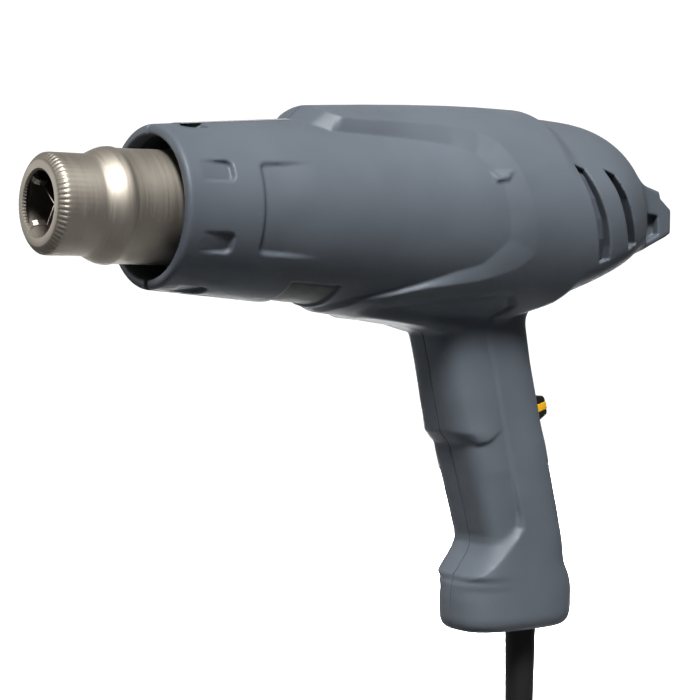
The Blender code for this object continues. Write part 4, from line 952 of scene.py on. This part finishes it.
def screw_mesh(name, place, low, high):
    """Pan-head screw along Y with a cross recess; its head faces the right side."""
    seat = high - 2.2
    angle = np.arange(SCREW_STEPS) * 2 * pi / SCREW_STEPS
    start = low + 1.6
    crests = range(1, int((seat - low - 3.0) / THREAD_STEP))
    stations = [(low, 0.3), (start, 1.25)]
    stations += [(start + THREAD_STEP * k, 1.25 + 0.22 * (k % 2)) for k in crests]
    stations += [(seat - 0.6, 1.5), (seat, 1.5), (seat, 2.9), (seat + 1.2, 3.0), (seat + 1.8, 2.7)]
    rings = [np.stack([place[0] + r * np.cos(angle), y + 0 * angle, place[1] + r * np.sin(angle)], 1)
             for y, r in stations]
    for r in (2.2, 1.9, 1.6, 1.3, 1.0, 0.7, 0.4, 0.1):
        u, w = r * np.cos(angle), r * np.sin(angle)
        cross = (np.minimum(np.abs(u), np.abs(w)) < 0.42) & (r < 2.0)
        top = high - 0.07 * r * r - 1.3 * cross
        rings.append(np.stack([place[0] + u, top, place[1] + w], 1))
    points, faces = lofted(rings)
    return mesh_of(name, points, faces)


for k, spot in enumerate(SCREWS):
    node = f"housing_screw_{k + 1}"
    low, high = (barrel_mm(v.y, 1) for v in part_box(node))
    place_piece(f"{node}_turned", screw_mesh(f"{node}_turned", spot, max(low, -9.0), high), ZINC, "casing",
                "zinc_screw", node)


# ---------- slide switch

ACROSS = np.array((0.0, 1.0, 0.0))
SLIDER = np.array((211.1, 0.0, -73.4))       # on the back of the handle, under the middle of the cap
CAP = [(-4.5, 2.0, 3.0, 0.4), (0.3, 2.0, 3.0, 0.4), (0.35, 5.0, 7.2, 1.0), (1.2, 5.0, 7.2, 1.0),
       (5.2, 3.9, 6.9, 1.0), (5.8, 3.4, 6.5, 1.0)]
CAP_MARK = [(1.0, 1.7, 7.32, 0.3), (5.4, 1.55, 7.02, 0.3), (6.0, 1.4, 6.7, 0.3), (6.1, 1.3, 6.5, 0.3)]


def leaning_block(name, stations):
    """A block of rounded sections: (height, half length, half width, corner) out from the handle's back."""
    rings = []
    for height, half_long, half_wide, corner in stations:
        ring = []
        for quarter, (end, flank) in enumerate(((1, 1), (-1, 1), (-1, -1), (1, -1))):
            for k in range(5):
                angle = pi / 2 * (quarter + k / 4)
                u = end * (half_long - corner) + corner * cos(angle)
                v = flank * (half_wide - corner) + corner * sin(angle)
                ring.append(SLIDER + LEAN * u + ACROSS * v + OUT * height)
        rings.append(np.array(ring))
    points, faces = lofted(rings)
    return mesh_of(name, points, faces)


place_piece("switch_slider_cap", leaning_block("switch_slider_cap", CAP), BLACK, "slider", "black_plastic",
            "switch_slider")
place_piece("switch_slider_mark", leaning_block("switch_slider_mark", CAP_MARK), YELLOW, "slider",
            "black_plastic")


# ---------- sleeve, cord and plug

SLEEVE_R = 6.1
SLEEVE_BORE = 3.9
SLEEVE_LENGTH = 57.0             # of the part below the handle


def sleeve_profile():
    low = HANDLE_LOW - SLEEVE_LENGTH
    top = barrel_mm(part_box("strain_relief")[1].z, 2)
    corners = [(low, SLEEVE_BORE), (low, 5.0), (-160.5, 6.0), (-158.4, SLEEVE_R), (top, SLEEVE_R),
               (top, SLEEVE_BORE)]
    outline = rounded_path(corners, [0.5, 1.0, 0.5, 0.3])
    return outline + [outline[0]]


points, faces = turned(sleeve_profile(), 48, axis="Z", at=(CORD_X, 0, 0))
place_piece("cord_sleeve", mesh_of("cord_sleeve", points, faces), RUBBER, "casing", "sleeve_rubber",
            "strain_relief")

CORD_R = 3.75
CORD_STEP = 7.75                 # from turn to turn of the coil, and from layer to layer
TURN_R = 42.0
COIL = np.array((149.0, 33.0))   # middle of the coil
STEPS_A_TURN = 48
FLOOR_LEVEL = -277.0             # of what the coil lies on
LOW_LANE = FLOOR_LEVEL + 1.3 + CORD_R
HIGH_LANE = LOW_LANE + CORD_STEP
PLUG_X, PLUG_FACE, PLUG_Z = 86.575, 128.3, -263.45


def through(points, count):
    """Smooth curve through points, count steps to a stretch (Catmull-Rom)."""
    points = [np.array(p, float) for p in points]
    ends = [2 * points[0] - points[1]] + points + [2 * points[-1] - points[-2]]
    made = []
    for a, b, c, d in zip(ends, ends[1:], ends[2:], ends[3:]):
        for k in range(count):
            t = k / count
            made.append(0.5 * (2 * b + (c - a) * t + (2 * a - 5 * b + 4 * c - d) * t * t
                               + (3 * b - a - 3 * c + d) * t ** 3))
    made.append(points[-1])
    return made


def coil_points():
    """Clockwise turns: inward on the upper layer, then outward on the lower one."""
    radii = [TURN_R + (1.5 - k) * CORD_STEP for k in range(4)]
    radii += radii[::-1]
    lanes = [HIGH_LANE] * 4 + [LOW_LANE] * 4
    first, last, change = radians(-84.0), radians(-178.0), 0.10
    turns = 7 + (first - last) / (2 * pi)
    made = []
    for k in range(int(turns * STEPS_A_TURN) + 1):
        u = k / STEPS_A_TURN
        stage = int(min(u, 7.0))
        share = float(step((u - stage) / change)) if stage > 0 else 1.0
        before = max(stage - 1, 0)
        radius = radii[before] + (radii[stage] - radii[before]) * share
        lane = lanes[before] + (lanes[stage] - lanes[before]) * share
        angle = first - 2 * pi * u
        made.append(np.array((COIL[0] + radius * cos(angle), COIL[1] + radius * sin(angle), lane)))
    return made


def cord_route():
    """From the sleeve down to the coil, round it, and out to the plug."""
    coil = coil_points()
    lead = [(CORD_X, 0, -214.7), (CORD_X, 0, -215.3), (210, 0, -229), (207, -4, -245), (196, -13, -257.2),
            (175.5, -22, -263.5), coil[0]]
    tail = [coil[-1], (87.6, 41.4, -271.95), (87.075, 55.0, -270.95), (PLUG_X, 73.0, -266.95),
            (PLUG_X, 89.0, PLUG_Z), (PLUG_X, 90.6, PLUG_Z)]
    return through(lead, 8)[:-1] + coil + through(tail, 8)[1:]


def cord_object(places):
    """A round tube along a route given in the row frame."""
    tube = bpy.data.curves.new("mains_cord", "CURVE")
    tube.dimensions = "3D"
    tube.bevel_depth = CORD_R * MM
    tube.bevel_resolution = 4
    tube.use_fill_caps = True
    spline = tube.splines.new("POLY")
    spline.points.add(len(places) - 1)
    for spot, place in zip(spline.points, places):
        spot.co = (*place, 1.0)
    return link("mains_cord", tube, CORD_RUBBER)


route = row(cord_route())
cord = cord_object(route)

# (back from the face, half width, half height) of the plug, from its cord end to its face.
PLUG_NECK = [(38.0, 5.4, 5.4), (37.4, 6.2, 6.2), (34.4, 6.4, 6.4), (34.0, 5.3, 5.3), (32.6, 5.3, 5.3),
             (32.2, 6.9, 6.7), (29.4, 7.3, 7.0), (29.0, 6.0, 5.8), (27.6, 6.2, 6.0)]
PLUG_HEAD = [(27.2, 8.2, 7.6), (24.0, 10.0, 8.8), (19.0, 13.2, 10.4), (14.0, 16.6, 11.6), (9.0, 18.0, 12.0),
             (4.0, 18.3, 12.0), (1.2, 17.4, 11.4), (0.3, 16.4, 10.6), (0.0, 15.4, 9.8)]
PIN_OFFSET = 9.3                 # of each pin from the plug's middle


def plug_mesh():
    """Contour plug: a flat-sided head that narrows to a ribbed neck."""
    rings = []
    angle = np.arange(64) * 2 * pi / 64
    for back, wide, high in PLUG_NECK + PLUG_HEAD:
        power = 2.0 + 1.2 * float(step((26.0 - back) / 16.0))
        u = np.sign(np.cos(angle)) * np.abs(np.cos(angle)) ** (2 / power) * wide
        v = np.sign(np.sin(angle)) * np.abs(np.sin(angle)) ** (2 / power) * high
        rings.append(np.stack([PLUG_X + u, PLUG_FACE - back + 0 * u, PLUG_Z + v], 1))
    points, faces = lofted(rings)
    return mesh_of("plug_moulding", points, faces)


def pin_mesh(name, x):
    outline = ((0.3, 0.01), (0.3, 2.4), (17.0, 2.4), (18.2, 2.1), (18.8, 1.5), (19.0, 0.01))
    profile = [(PLUG_FACE + along, radius) for along, radius in outline]
    points, faces = turned(profile, 32, axis="Y", at=(x, 0, PLUG_Z))
    return mesh_of(name, points, faces)


plug = place_piece("plug_moulding", plug_mesh(), RUBBER, "casing", "plug_rubber", "plug_body")
for k, side in enumerate((-1, 1)):
    node = f"plug_pin_{k + 1}"
    mesh = pin_mesh(f"{node}_metal", PLUG_X + side * PIN_OFFSET)
    place_piece(f"{node}_metal", mesh, PIN, "casing", "pin_metal", node)
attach(cord, "casing")
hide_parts("cord_lead", "cord_coil", "cord_tail")


# ---------- labels

FILM_THICK = 0.12
FILM_RINGS, FILM_STEPS = 23, 33


def film_faces():
    """Both faces of a film and the strip round its edge, over two layers of rings."""
    layer = FILM_RINGS * FILM_STEPS
    faces = []
    for start in (0, layer):
        for i in range(FILM_RINGS - 1):
            for j in range(FILM_STEPS - 1):
                a = start + i * FILM_STEPS + j
                faces.append((a, a + 1, a + FILM_STEPS + 1, a + FILM_STEPS))
    edge = [(i, 0) for i in range(FILM_RINGS)]
    edge += [(FILM_RINGS - 1, j) for j in range(1, FILM_STEPS)]
    edge += [(i, FILM_STEPS - 1) for i in range(FILM_RINGS - 2, -1, -1)]
    edge += [(0, j) for j in range(FILM_STEPS - 2, 0, -1)]
    for (i, j), (k, m) in zip(edge, edge[1:] + edge[:1]):
        a, b = i * FILM_STEPS + j, k * FILM_STEPS + m
        faces.append((a, b, b + layer, a + layer))
    return faces


def barrel_patch(name, span, arc_degrees, lift, node, mat):
    """A thin film, lift proud of the barrel, over a span of x and an arc round it."""
    angles = np.radians(np.linspace(*arc_degrees, FILM_STEPS))
    rings = []
    for thick in (0.0, FILM_THICK):
        for x in np.linspace(*span, FILM_RINGS):
            r = barrel(x) + lift + thick + 0 * angles
            rings.append(np.stack([x + 0 * angles, -r * np.cos(angles), r * np.sin(angles)], 1))
    mesh = mesh_of(name, np.concatenate(rings), film_faces())
    place_piece(name, mesh, mat, "casing", "label_film", node)


barrel_patch("top_label_film", (51.0, 95.0), (79.0, 101.0), 0.05, "top_label", FILM)
barrel_patch("rating_label_film", (88.4, 106.2), (-125.0, -54.5), 0.05 - LABEL_RECESS, "rating_label", SILVER_FILM_IN_PAINTED_SHADE)


# ---------- finishes of the pieces kept from the frame

for node, mat in KEPT.items():
    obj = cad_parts.get(node)
    if obj is not None:
        obj.data.materials.clear()
        obj.data.materials.append(mat)
